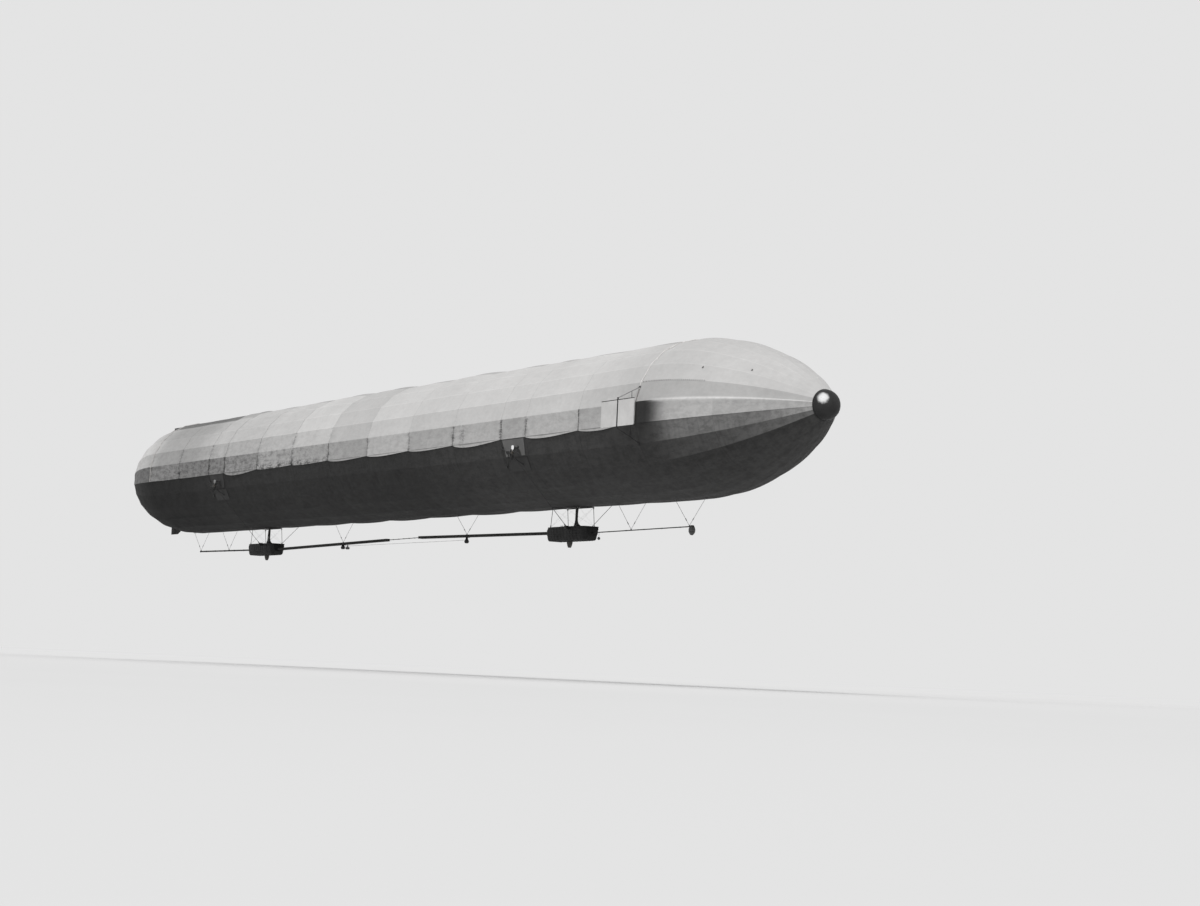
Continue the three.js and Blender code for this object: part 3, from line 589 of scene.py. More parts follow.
def turned(profile, centre=(0, 0, 0), axis=2, around=20):
    """A profile of radius and height pairs carried round an axis through the centre."""
    radius, height = np.asarray(profile, float).T
    turn = angles_round(around)
    rings = np.zeros((len(radius), around, 3))
    one, two = [k for k in range(3) if k != axis]
    rings[..., one] = radius[:, None] * np.cos(turn)
    rings[..., two] = radius[:, None] * np.sin(turn)
    rings[..., axis] = height[:, None]
    return loft(rings + np.asarray(centre, float))


def bead(radius):
    """A low round head, as on a rivet: a ball of four six-sided rings."""
    return turned([(0.4 * radius, -0.9 * radius), (radius, -0.3 * radius), (radius, 0.3 * radius),
                   (0.4 * radius, 0.9 * radius)], around=6)


def together(*forms):
    """Several forms as one."""
    starts = np.cumsum([0] + [len(points) for points, _ in forms[:-1]])
    groups = [group + start for (_, groups), start in zip(forms, starts) for group in groups]
    return np.concatenate([points for points, _ in forms]), groups


def copies(form, places):
    """The form at each of a stack of 4 by 4 matrices."""
    points, groups = form
    places = np.asarray(places)
    moved = np.einsum("kij,nj->kni", places[:, :3, :3], points) + places[:, None, :3, 3]
    shift = np.arange(len(places))[:, None, None] * len(points)
    return moved.reshape(-1, 3), [(group[None] + shift).reshape(-1, group.shape[1]) for group in groups]


def set_at(points):
    """One 4 by 4 matrix for each place, with no turn."""
    points = np.atleast_2d(points)
    made = np.tile(np.eye(4), (len(points), 1, 1))
    made[:, :3, 3] = points
    return made


def bead_ring(radius, reach, count, place, axis=2):
    """Round heads evenly about an axis, at that reach from it and that place along it."""
    turn = angles_round(count)
    spots = np.insert(np.stack([reach * np.cos(turn), reach * np.sin(turn)], -1), axis, place, axis=-1)
    return copies(bead(radius), set_at(spots))


def mirrored(form, axis=1):
    """The form on the other side of the ship, with its faces turned over."""
    points, groups = form
    signs = np.where(np.arange(3) == axis, -1, 1)
    return points * signs, [group[:, ::-1] for group in groups]


def both_sides(form):
    """The form and its mirror image across the ship."""
    return together(form, mirrored(form))


def each(layers, turn):
    """Pairs of a finish and a form, with every form turned or mirrored by the same function."""
    return [(finish, turn(form)) for finish, form in layers]


def as_made(form):
    """The form as it is, for the side that it was made on."""
    return form


SIDES = (("port", as_made), ("starboard", mirrored))


def piece(name, layers, slot, *replaced, body="ship", sharp=35):
    """One object of pairs of a finish and a form, smooth but for edges that turn by more than the sharp
    angle. It rides on its body and stands for the nodes that it replaces. The slot is not used."""
    mesh = bpy.data.meshes.new(name)
    points, groups = together(*(form for _, form in layers))
    mesh.from_pydata(points.tolist(), [], [face for group in groups for face in group.tolist()])
    number = [k for k, (_, (_, groups)) in enumerate(layers) for group in groups for _ in group]
    for finish, _ in layers:
        mesh.materials.append(finish)
    mesh.polygons.foreach_set("material_index", np.array(number, np.int32))
    mesh.polygons.foreach_set("use_smooth", np.ones(len(number), bool))
    mesh.set_sharp_from_angle(angle=math.radians(sharp))
    made = in_scene(name, mesh)
    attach(made, body)
    if replaced:
        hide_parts(*replaced)
    return made


def worn_metal(name, paint, bare, chips=0.1, rough=0.5, metallic=0.5, gloss=0.5):
    """Metal under paint or tarnish: clouded, chipped to a barer shade in small spots, with fine scratches
    along its grain that also roughen it."""
    made, tree, shader, place = new_material(name)
    clouds = cloudy(tree, place, 0.7, 1.3, 9, 5)
    spots = ranged(tree, noise(tree, place, 140, 8, 0.72), 0.68 - chips, 0.74 - chips, 0.0, 1.0)
    scratches = noise(tree, stretched(tree, place, METAL_GRAIN), 1.0, 6, 0.7)
    feed(tree, shader, {"Base Color": blended(tree, spots, tinted(tree, paint, clouds), bare),
                        "Roughness": ranged(tree, scratches, *NOISE_SPAN, rough - 0.12, rough + 0.12),
                        "Metallic": ranged(tree, spots, 0, 1, metallic, min(1, metallic + 0.35)),
                        "Specular IOR Level": gloss})
    worn_low = maths(tree, "SUBTRACT", product(tree, scratches, 0.4), product(tree, spots, 0.6))
    bumped(tree, shader, worn_low, 0.0005, 0.6)
    return made


cap_sheet = worn_metal("cap_sheet_with_painted_highlight", grey(0.026), grey(0.07), chips=0.06, rough=0.5, metallic=0.1,
                       gloss=0.12)
# Painted highlight: a bright patch on the port side of either cap, fading with distance from one spot
tree = cap_sheet.node_tree
shader = tree.nodes["Principled BSDF"]
place = node(tree, "ShaderNodeTexCoord", {}).outputs["Object"]
on_either = node(tree, "ShaderNodeVectorMath", {0: place}, operation="ABSOLUTE").outputs[0]
split = axes_of(tree, place)
either_end = {0: axes_of(tree, on_either)[0], 1: split[1], 2: split[2]}
places = node(tree, "ShaderNodeCombineXYZ", either_end).outputs[0]
off = node(tree, "ShaderNodeVectorMath", {0: places, 1: HIGHLIGHT_AT}, operation="DISTANCE").outputs["Value"]
uneven = maths(tree, "ADD", off, product(tree, noise(tree, place, 60, 3), 0.02))
painted_highlight = ranged(tree, uneven, HIGHLIGHT_WITHIN, HIGHLIGHT_GONE_AT, 1.0, 0.0, smooth=True)
dull = shader.inputs["Base Color"].links[0].from_socket
feed(tree, shader, {"Base Color": blended(tree, painted_highlight, dull, grey(0.62))})
rivet_alloy = worn_metal("rivet_alloy", grey(0.04), grey(0.12), chips=0.1, rough=0.5, metallic=0.3, gloss=0.2)
for end, way in (("bow", 1), ("stern", -1)):
    low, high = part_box(f"{end}_cap")
    base, tip = sorted((abs(low.x), abs(high.x)))
    reach = math.acos(TIP_FLAT / high.y)
    swing = np.linspace(0, reach, 14)
    foot = base + FLANGE_WIDTH
    dome = np.stack([high.y * np.cos(swing), foot + (tip - foot) * np.sin(swing) / math.sin(reach)], -1)
    flange = [(high.y - 0.004, base), (high.y + 0.0022, base + 0.0004), (high.y + 0.003, base + 0.003),
              (high.y + 0.0022, base + 0.0056)]
    shell = turned([*flange, *dome], axis=0, around=48)
    straps = []
    for gore in range(CAP_GORES):
        turn = 2 * math.pi * (gore + 0.5) / CAP_GORES
        radius, place = dome[:12].T
        half = STRAP_HALF / radius
        edges = [(radius + rise) * kind(turn + side * half)
                 for side, rise in ((-1, -0.001), (-1, 0.0007), (1, 0.0007), (1, -0.001))
                 for kind in (np.cos, np.sin)]
        rings = np.stack([np.stack([place, edges[k], edges[k + 1]], -1) for k in (0, 2, 4, 6)], 1)
        straps.append(loft(rings))
    flange_rivets = bead_ring(RIVET_RADIUS, high.y + 0.003, CAP_RIVETS, base + 0.003, axis=0)
    layers = [(cap_sheet, together(shell, *straps)), (rivet_alloy, flange_rivets)]
    if way < 0:
        layers = each(layers, lambda form: mirrored(form, axis=0))
    piece(f"{end}_cap_sheet", layers, "bare_metal", f"{end}_cap")

# Seam ropes and lacing.
# A laid hemp rope lies in the seam at each ogive, the stern's pale above and tarred below. Tarred twine laces
# the covers, and two small vents with sewn rims open high on each side of the stern ogive.
ROPE_RADIUS, ROPE_PITCH, ROPE_STRANDS, ROPE_AROUND = 0.0034, 0.026, 3, 12
STITCH_LENGTH, STITCH_RADIUS, STITCH_PITCH = 0.011, 0.0019, 0.02
PALE_ROPE_FROM = math.radians(17)
STRUT_FRAMES = (2.8, 3.2)
VENTS_X, VENTS_UP = (-5.409, -5.815), (35.07, 42.28)
VENT_OUTLINE = ((0.0085, -0.0006), (0.0092, 0.0004), (0.008, 0.0014), (0.0062, 0.001), (0.0055, 0.0002))


def along_path(path, closed=False):
    """Each point's direction and two directions square to it."""
    ahead = np.roll(path, -1, axis=0) - np.roll(path, 1, axis=0) if closed else np.gradient(path, axis=0)
    ahead = ahead / np.linalg.norm(ahead, axis=1, keepdims=True)
    side = np.cross(ahead, np.eye(3)[np.argmin(np.abs(ahead).max(axis=0))])
    side /= np.linalg.norm(side, axis=1, keepdims=True)
    return ahead, side, np.cross(ahead, side)


def tube(path, radius, around=10, closed=False):
    """Circles square to a path, of one radius or one for each point, joined into a bar with closed ends."""
    path = np.asarray(path, float)
    _, side, up = along_path(path, closed)
    turn = angles_round(around)
    circle = np.cos(turn)[:, None] * side[:, None] + np.sin(turn)[:, None] * up[:, None]
    return loft(path[:, None] + np.broadcast_to(radius, len(path))[:, None, None] * circle, closed)


def rod(start, end, radius, around=10):
    """A straight bar between two points, with its ends chamfered by a fifth of its radius."""
    start, end = np.asarray(start, float), np.asarray(end, float)
    step = (end - start) / np.linalg.norm(end - start) * radius * 0.2
    return tube([start, start + step, end - step, end], np.array([0.8, 1, 1, 0.8]) * radius, around)


def rope(path, radius):
    """A laid rope along a path: a circle with one low lobe for each strand, turned steadily as it goes."""
    path = np.asarray(path, float)
    _, side, up = along_path(path)
    gone = np.append(0, np.cumsum(np.linalg.norm(np.diff(path, axis=0), axis=1)))
    turn = angles_round(ROPE_AROUND)
    lobes = 1 + 0.16 * np.cos(ROPE_STRANDS * (turn - 2 * np.pi * gone[:, None] / ROPE_PITCH))
    circle = np.cos(turn)[:, None] * side[:, None] + np.sin(turn)[:, None] * up[:, None]
    return loft(path[:, None] + radius * lobes[..., None] * circle)


def on_hull(x, angle, lift):
    """Places on the cloth as 4 by 4 matrices whose X runs to the bow and whose Z leaves the hull."""
    x, angle = np.broadcast_arrays(np.atleast_1d(x).astype(float), angle)
    r = cloth_radius(x, angle, LOWER_DISH) + lift
    made = np.zeros((len(x), 4, 4))
    made[:, 0, 0] = made[:, 3, 3] = 1
    made[:, 1, 1], made[:, 2, 1] = np.sin(angle), -np.cos(angle)
    made[:, 1, 2], made[:, 2, 2] = np.cos(angle), np.sin(angle)
    made[:, :3, 3] = about_axis(x, r, angle)
    return made


def fibre(name, colour):
    """Twine or rope: its colour in patches of wear, with hairy bump and almost no gloss."""
    made, tree, shader, place = new_material(name)
    worn = tinted(tree, colour, cloudy(tree, place, 0.7, 1.25, 30, 6, 0.6))
    feed(tree, shader, {"Base Color": worn, "Roughness": 0.92, "Specular IOR Level": 0.2})
    bumped(tree, shader, noise(tree, place, 900, 3, 0.7), 0.0004, 0.7)
    return made


pale_hemp = fibre("pale_hemp", grey(0.6, 0.02))
weathered_hemp = fibre("weathered_hemp", grey(0.48, 0.03))
thinly_tarred_hemp = fibre("thinly_tarred_hemp", grey(0.2, 0.04))
tarred_hemp = fibre("tarred_hemp", grey(0.035, 0.05))
ropes = {pale_hemp: [], weathered_hemp: [], thinly_tarred_hemp: [], tarred_hemp: []}
stitches = []
for way in (-1, 1):
    seam_x = way * (CYLINDER_END + 0.002)
    # The stern's rope is pale over the top, thinly tarred down to the side strip, and black on that strip
    above, beside, below = (pale_hemp, thinly_tarred_hemp, tarred_hemp) if way < 0 else (weathered_hemp,) * 3
    for finish, low, high in ((above, PALE_ROPE_FROM, math.pi - PALE_ROPE_FROM),
                              (beside, SPLIT, PALE_ROPE_FROM),
                              (below, -SPLIT, SPLIT),
                              (beside, math.pi - PALE_ROPE_FROM, math.pi - SPLIT),
                              (below, math.pi - SPLIT, math.pi + SPLIT)):
        angle = np.linspace(low, high, max(12, int((high - low) * HULL_RADIUS / 0.006)))
        ropes[finish].append(rope(on_hull(seam_x, angle, 0.6 * ROPE_RADIUS)[:, :3, 3], ROPE_RADIUS))
    if way < 0:
        x = -np.arange(CYLINDER_END + 0.03, 5.5, STITCH_PITCH)
        for ridge in (1.5 * FACET, math.pi - 1.5 * FACET):
            stitches.append(on_hull(x, ridge, 0.0005))
    for frame_x in STRUT_FRAMES:
        angle = np.arange(-0.8 * SPLIT, 0.85 * SPLIT, STITCH_PITCH / HULL_RADIUS)
        for middle in (0, math.pi):
            sides_of_frame, lean = ((-0.011, 0.011), 0) if frame_x == STRUT_FRAMES[0] else ((0.006,), 0.12)
            for beside in sides_of_frame:
                stitches.append(on_hull(way * (frame_x + beside + lean * angle), middle + angle, 0.0005))
across = rod((0, -STITCH_LENGTH / 2, 0), (0, STITCH_LENGTH / 2, 0), STITCH_RADIUS, 6)
piece("seam_ropes", [(finish, together(*forms)) for finish, forms in ropes.items()], "upper_cover")
vent = turned(VENT_OUTLINE, around=24)
vents = on_hull(VENTS_X * 2, np.radians([*VENTS_UP, *(180 - up for up in VENTS_UP)]), 0.0004)
piece("cover_lacing",
      [(tarred_hemp, together(copies(across, np.concatenate(stitches)), copies(vent, vents)))],
      "upper_cover")

# Propeller patches.
# Doubled cloth is sewn over the two facets behind each propeller, cut half round to clear the outrigger's
# feet. The aft propellers' upper patch is less deeply dyed; the others are almost as dark as the cover.
PATCH_HALF, PATCH_THICK, PATCH_HEM = 0.17, 0.0012, 0.0008
NOTCH_HALF, NOTCH_SHARE = 0.105, 0.55
UPPER_PATCH, LOWER_PATCH = (-0.58 * FACET, -1.46 * FACET), (-1.56 * FACET, -2.3 * FACET)
TAUT_WEAVE, TAUT_ROUGH = 0.0022, 0.8


def middle_x(name):
    """The middle of a CAD node along the ship."""
    low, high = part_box(name)
    return (low.x + high.x) / 2


def taut_cloth(name, colour):
    """Plain cloth under tension: its colour cloudy and faintly speckled, with a crossed weave as bump."""
    made, tree, shader, place = new_material(name)
    feed(tree, shader, {"Base Color": tinted(tree, colour, cloudy(tree, place, 0.86, 1.1, 8, 7, 0.62)),
                        "Roughness": cloudy(tree, place, TAUT_ROUGH - 0.07, TAUT_ROUGH + 0.07, 12),
                        "Specular IOR Level": 0.25})
    warp, other, weft = (maths(tree, "SINE", product(tree, axis, 2 * math.pi))
                         for axis in axes_of(tree, stretched(tree, place, (1 / TAUT_WEAVE,) * 3)))
    cloth = product(tree, warp, maths(tree, "ADD", weft, other), 0.1)
    bumped(tree, shader, maths(tree, "ADD", cloth, noise(tree, place, 14, 5)), 0.002, 0.4)
    return made


def patch_form(centre, high, low, notch):
    """A sheet on the port facets from one angle down to another, narrower at its foot, whose foot has a
    half-ellipse cut out of it by a share of its height."""
    across = np.linspace(-1, 1, 41)
    down = np.linspace(0, 1, 13)
    cut = notch * np.sqrt(np.clip(1 - (across * PATCH_HALF / NOTCH_HALF) ** 2, 0, 1))
    share = down * (1 - cut[:, None])
    x = centre + across[:, None] * PATCH_HALF * (1 - 0.12 * share)
    angle = high + share * (low - high)
    hem = np.where((np.abs(across)[:, None] > 0.94) | (down > 0.93), PATCH_HEM, 0.0)
    r = cloth_radius(x, angle, LOWER_DISH) + 0.0006
    outer, inner = about_axis(x, r + PATCH_THICK + hem, angle), about_axis(x, r, angle)
    return loft(np.concatenate([outer, inner[:, ::-1]], axis=1))


paler_dye = taut_cloth("thinly_dyed_cotton", grey(0.115, 0.01))
dark_dye = taut_cloth("dyed_cotton_patch", grey(0.034, 0.01))
for end in ("fore", "aft"):
    centre = middle_x(f"{end}_gondola")
    upper = patch_form(centre, *UPPER_PATCH, NOTCH_SHARE)
    lower = patch_form(centre, *LOWER_PATCH, 0.0)
    for side, turn in SIDES:
        for kind, form, finish in (("upper", upper, paler_dye if end == "aft" else dark_dye),
                                   ("lower", lower, dark_dye)):
            made = piece(f"{end}_{side}_{kind}_patch", [(finish, turn(form))], "lower_cover", sharp=60)

# Strut frames and ladder trunks.
# Four alloy tubes, bolted to each gondola's rim, lean in to two rails under the keel, with crossed wires. A
# hooped canvas trunk round the ladder goes up into the hull, and its hood spreads aft over the rim.
RIM_Z, DECK_Z = -0.742, -0.8427
HULL_FLAT = HULL_RADIUS * math.cos(FACET / 2)
STRUT_X, STRUT_FOOT_Y, STRUT_HEAD_Y, STRUT_RADIUS = 0.2, 0.082, 0.068, 0.003
RAIL_SIZE, PLATE_THICK, WIRE_RADIUS = 0.006, 0.003, 0.0005
COLLAR_LENGTH, COLLAR_RADIUS = 0.016, 0.004
TRUNK_X, TRUNK_RADIUS, CASING_RADIUS, TRUNK_SHOULDER, HOOP_PITCH = -0.06, 0.011, 0.024, -0.7, 0.0129
HOOD_TOP, HOOD_REACH, HOOD_HALF = -0.687, 0.086, 0.026
CANVAS_THREADS = 4000


def block(low, high, edge=0.0007):
    """A box between two corners: eight-sided rings along X, with the first and last drawn in, so that every
    edge is chamfered."""
    low, high = np.asarray(low, float), np.asarray(high, float)
    x = np.array([low[0], low[0] + edge, high[0] - edge, high[0]])
    inset = np.array([0.7, 0, 0, 0.7]) * edge
    left, right = low[1] + inset, high[1] - inset
    foot, top = low[2] + inset, high[2] - inset
    section = [(left + edge, foot), (right - edge, foot), (right, foot + edge), (right, top - edge),
               (right - edge, top), (left + edge, top), (left, top - edge), (left, foot + edge)]
    return loft(np.stack([np.stack([x, y, z], -1) for y, z in section], 1))


def plates_at(points, size):
    """One box of that size about each point."""
    half = np.asarray(size) / 2
    return copies(block(-half, half), set_at(points))


def canvas(name, colour):
    """Tarred sailcloth: its colour, paler in worn patches, with a coarse crossed weave as bump."""
    made, tree, shader, place = new_material(name)
    worn = ranged(tree, noise(tree, place, 45, 6, 0.65), 0.35, 0.7, 0.0, 1.0)
    pale = tuple(2.2 * share for share in colour[:3]) + (1,)
    feed(tree, shader, {"Base Color": blended(tree, worn, colour, pale), "Roughness": 0.85,
                        "Specular IOR Level": 0.25})
    threads = stretched(tree, place, (CANVAS_THREADS,) * 3)
    sines = [maths(tree, "SINE", axis) for axis in axes_of(tree, threads)]
    weave = product(tree, maths(tree, "ADD", sines[0], sines[1]), sines[2])
    bumped(tree, shader, maths(tree, "ADD", weave, product(tree, worn, 2)), 0.0003, 0.6)
    return made


def hood(x):
    """A canvas hood on the trunk at x. At each share of the way down, a ring of two half ellipses, whose half
    width grows with the share's square and whose reach aft grows with its power of 2.2. Its folds are low
    waves round it that deepen to the foot."""
    share = np.linspace(0, 1, 22)[:, None]
    turn = angles_round(60)
    fold = 1 + 0.035 * share * np.cos(9 * turn)
    half = (TRUNK_RADIUS + 0.0012 + (HOOD_HALF - TRUNK_RADIUS) * share**2) * fold
    ahead = TRUNK_RADIUS + 0.0012 + 0.004 * share**1.5
    aft = TRUNK_RADIUS + 0.0012 + (HOOD_REACH - TRUNK_RADIUS) * share**2.2
    reach = np.where(np.cos(turn) > 0, ahead, aft) * fold
    z = HOOD_TOP + (RIM_Z + 0.0035 - HOOD_TOP) * share + 0 * turn
    return loft(np.stack([x + reach * np.cos(turn), half * np.sin(turn), z], -1))


pale_wire = worn_metal("galvanised_wire", grey(0.5), grey(0.65), chips=0.1, rough=0.5, metallic=0.3,
                       gloss=0.3)
frame_tube = worn_metal("painted_frame_tube", grey(0.014), grey(0.08), chips=0.05, rough=0.55, metallic=0.1,
                        gloss=0.2)
frame_iron = worn_metal("blackened_fittings", grey(0.02), grey(0.12), chips=0.09, rough=0.5, metallic=0.4,
                        gloss=0.3)
trunk_canvas = canvas("tarred_canvas", grey(0.016, 0.03))
for end in ("fore", "aft"):
    centre = middle_x(f"{end}_gondola")
    tubes, collars, plates, bolts, wires = [], [], [], [], []
    for x in (centre - STRUT_X, centre + STRUT_X):
        foot = (x, STRUT_FOOT_Y, RIM_Z + PLATE_THICK / 2)
        head = (x, STRUT_HEAD_Y, -HULL_FLAT - 0.001)
        lean = (np.array(head) - foot) / np.linalg.norm(np.array(head) - foot)
        tubes.append(rod(foot, head, 0.7 * STRUT_RADIUS, 14))
        for near, way in ((foot, 1), (head, -1)):
            stop = near + way * lean * COLLAR_LENGTH
            radii = [COLLAR_RADIUS, COLLAR_RADIUS, 0.0023]
            collars.append(tube([near, stop, stop + way * lean * 0.001], radii, 14))
        plates.append((x, STRUT_FOOT_Y, RIM_Z + 0.0003 + PLATE_THICK / 2))
        bolts += [(x + dx, STRUT_FOOT_Y, RIM_Z + PLATE_THICK + 0.0006) for dx in (-0.006, 0.006)]
        low_end, high_end = RIM_Z + 0.006, -HULL_FLAT - 0.006
        other = 2 * centre - x
        wires.append(rod((x, STRUT_FOOT_Y, low_end), (other, STRUT_HEAD_Y, high_end), WIRE_RADIUS, 6))
        wires.append(rod((x, STRUT_FOOT_Y, low_end), (x, -STRUT_HEAD_Y, high_end), WIRE_RADIUS, 6))
    rail = block((centre - STRUT_X - RAIL_SIZE, STRUT_HEAD_Y - RAIL_SIZE / 2,
                  -HULL_FLAT - RAIL_SIZE - 0.0003),
                 (centre + STRUT_X + RAIL_SIZE, STRUT_HEAD_Y + RAIL_SIZE / 2, -HULL_FLAT - 0.0003))
    rivets = [(x, STRUT_HEAD_Y + 0.5 * RAIL_SIZE, -HULL_FLAT - 0.5 * RAIL_SIZE)
              for x in centre + np.linspace(-STRUT_X, STRUT_X, 33)]
    cross_bars = [block((x - 0.002, -STRUT_HEAD_Y, -HULL_FLAT - 0.005),
                        (x + 0.002, STRUT_HEAD_Y, -HULL_FLAT - 0.001))
                  for x in (centre - STRUT_X, centre + STRUT_X)]
    hung = together(*tubes, rail, plates_at(plates, (0.016, 0.01, PLATE_THICK)))
    small = together(*collars, copies(bead(0.0012), set_at(bolts)), copies(bead(0.0006), set_at(rivets)))
    layers = [(frame_tube, together(both_sides(hung), *cross_bars)), (frame_iron, both_sides(small)),
              (pale_wire, both_sides(together(*wires)))]
    piece(f"{end}_strut_tubes", layers, "framing", f"{end}_strut_frame")

    pipe = np.linspace(TRUNK_SHOULDER, -HULL_FLAT + 0.006, 101)
    hoops = TRUNK_RADIUS - 0.0007 + 0.0009 * np.cos(2 * np.pi * (pipe - TRUNK_SHOULDER) / HOOP_PITCH) ** 2
    share = np.linspace(0, 1, 18)[:-1]
    flare = np.stack([CASING_RADIUS - (CASING_RADIUS - TRUNK_RADIUS) * np.sin(np.pi / 2 * share) ** 0.8,
                      RIM_Z + (TRUNK_SHOULDER - RIM_Z) * share], -1)
    casing_height = np.linspace(DECK_Z, RIM_Z, 26)[:-1]
    casing = CASING_RADIUS - 0.0008 + 0.0008 * np.cos(np.pi * (casing_height - DECK_Z) / 0.0252) ** 2
    profile = np.concatenate([np.stack([casing, casing_height], -1), flare, np.stack([hoops, pipe], -1)])
    rings = [turned([(radius - 0.001, z - 0.0016), (radius + 0.0008, z - 0.0012),
                     (radius + 0.0008, z + 0.0012), (radius - 0.001, z + 0.0016)], (centre + TRUNK_X, 0, 0),
                    around=36) for radius, z in ((CASING_RADIUS, DECK_Z + 0.0016), (CASING_RADIUS, RIM_Z),
                                                 (TRUNK_RADIUS, TRUNK_SHOULDER),
                                                 (TRUNK_RADIUS, -HULL_FLAT - 0.002))]
    trunk = turned(profile, (centre + TRUNK_X, 0, 0), around=36)
    layers = [(trunk_canvas, together(trunk, hood(centre + TRUNK_X))), (frame_iron, together(*rings))]
    piece(f"{end}_trunk_canvas", layers, "framing", f"{end}_ladder_trunk")

# Gondolas.
# Each is an open tub of riveted alloy sheet on bent ribs, with a tube rolled into its rim and rub rails along
# its sides. Planks on bearers, thwarts and a tank on its cradle are inside, a wheel and a gauge in one.
TUB_X = (-0.312, -0.27, -0.15, 0.15, 0.27, 0.312)
TUB_RIM_HALF = (0.058, 0.078, 0.09, 0.09, 0.078, 0.058)
TUB_FLOOR_HALF = (0.042, 0.062, 0.072, 0.072, 0.062, 0.042)
TUB_KEEL = (-0.812, -0.848, -0.848, -0.848, -0.848, -0.812)
TUB_WALL, RIB_PITCH, BOARD_WIDTH, BOARD_THICK = 0.0028, 0.048, 0.016, 0.0025
TANK_X, TANK_Z, TANK_RADIUS, CRADLE_Y = -0.255, -0.775, 0.019, 0.024
THWARTS_X, THWART_HALF, THWART_Z, THWART_THICK = (-0.2, 0.0, 0.235), 0.011, -0.7935, 0.003
BILGE_FROM, RUB_RAILS_DOWN, POST_AT, GAUGE_Z = 0.72, (0.3, 0.62), 0.262, -0.757
BULGE_Z, BOW_LEAN, STERN_LEAN = -0.775, 0.036, 0.008
WOOD_GRAIN = (14, 420, 420)


def leant(points):
    """Points of the tub with those above its bulge drawn towards its middle near the ends: by the power of
    1.5 of the way up to the rim, more at the bow end than at the stern end."""
    x, y, z = np.moveaxis(points, -1, 0)
    above = np.clip((z - BULGE_Z) / (RIM_Z - BULGE_Z), 0, 1) ** 1.5
    lean = STERN_LEAN * smooth_step(-x, 0.2, 0.312) - BOW_LEAN * smooth_step(x, 0.2, 0.312)
    return np.stack([x + above * lean, y, z], -1)


def tub_section(x, lift=0.0):
    """The tub's outline across the ship at each x from the gondola's middle, from port rim to starboard
    rim: a straight side, a quadratic curve about the bilge's corner and a flat floor, all moved out by the
    lift."""
    x = np.atleast_1d(x)[:, None]
    rim, floor, keel = (np.interp(x, TUB_X, row) for row in (TUB_RIM_HALF, TUB_FLOOR_HALF, TUB_KEEL))
    rim, floor, keel = rim + lift, floor + lift, keel - lift
    down = np.linspace(0, BILGE_FROM, 7)[None]
    side = np.stack([rim + (floor - rim) * down, RIM_Z + (keel - RIM_Z) * down], -1)
    turn = np.linspace(0, 1, 8)[None, 1:]
    start_y, start_z = rim + (floor - rim) * BILGE_FROM, RIM_Z + (keel - RIM_Z) * BILGE_FROM
    bilge = np.stack([(1 - turn) ** 2 * start_y + 2 * turn * (1 - turn) * floor + turn**2 * 0.7 * floor,
                      (1 - turn) ** 2 * start_z + 2 * turn * (1 - turn) * keel + turn**2 * keel], -1)
    inward = np.linspace(0.7, 0, 5)[None, 1:]
    bottom = np.stack([floor * inward, keel + 0 * inward], -1)
    half = np.concatenate([side, bilge, bottom], axis=1)
    whole = np.concatenate([half, half[:, -2::-1] * [-1, 1]], axis=1)
    return leant(np.concatenate([np.broadcast_to(x[..., None], whole.shape[:2] + (1,)), whole], -1))


def planked(name, colour):
    """Sawn boards: a tone for each board's width across the ship, and grain drawn out along it."""
    made, tree, shader, place = new_material(name)
    board = maths(tree, "FLOOR", maths(tree, "DIVIDE", axes_of(tree, place)[1], BOARD_WIDTH))
    tone = node(tree, "ShaderNodeTexWhiteNoise", {"W": board}, noise_dimensions="1D").outputs["Value"]
    grain = noise(tree, stretched(tree, place, WOOD_GRAIN), 1.0, 8, 0.7)
    level = product(tree, ranged(tree, grain, *NOISE_SPAN, 0.6, 1.4), ranged(tree, tone, 0, 1, 0.75, 1.2))
    feed(tree, shader, {"Base Color": tinted(tree, colour, level),
                        "Roughness": ranged(tree, grain, *NOISE_SPAN, 0.7, 0.9)})
    bumped(tree, shader, grain, 0.0004, 0.7)
    return made


def wheel(centre, radius, rim, spokes):
    """A spoked hand wheel about the X axis: a closed tube, a hub and thin rods."""
    turn = angles_round(32)
    path = about_axis(0 * turn, radius, turn) + centre
    forms = [tube(path, rim, 8, closed=True)]
    for spoke in range(spokes):
        forms.append(rod(centre, path[spoke * len(path) // spokes], 0.6 * rim, 6))
    forms.append(turned([(2.4 * rim, -2 * rim), (2.6 * rim, 0), (2.4 * rim, 2 * rim)], centre, 0, 12))
    return together(*forms)


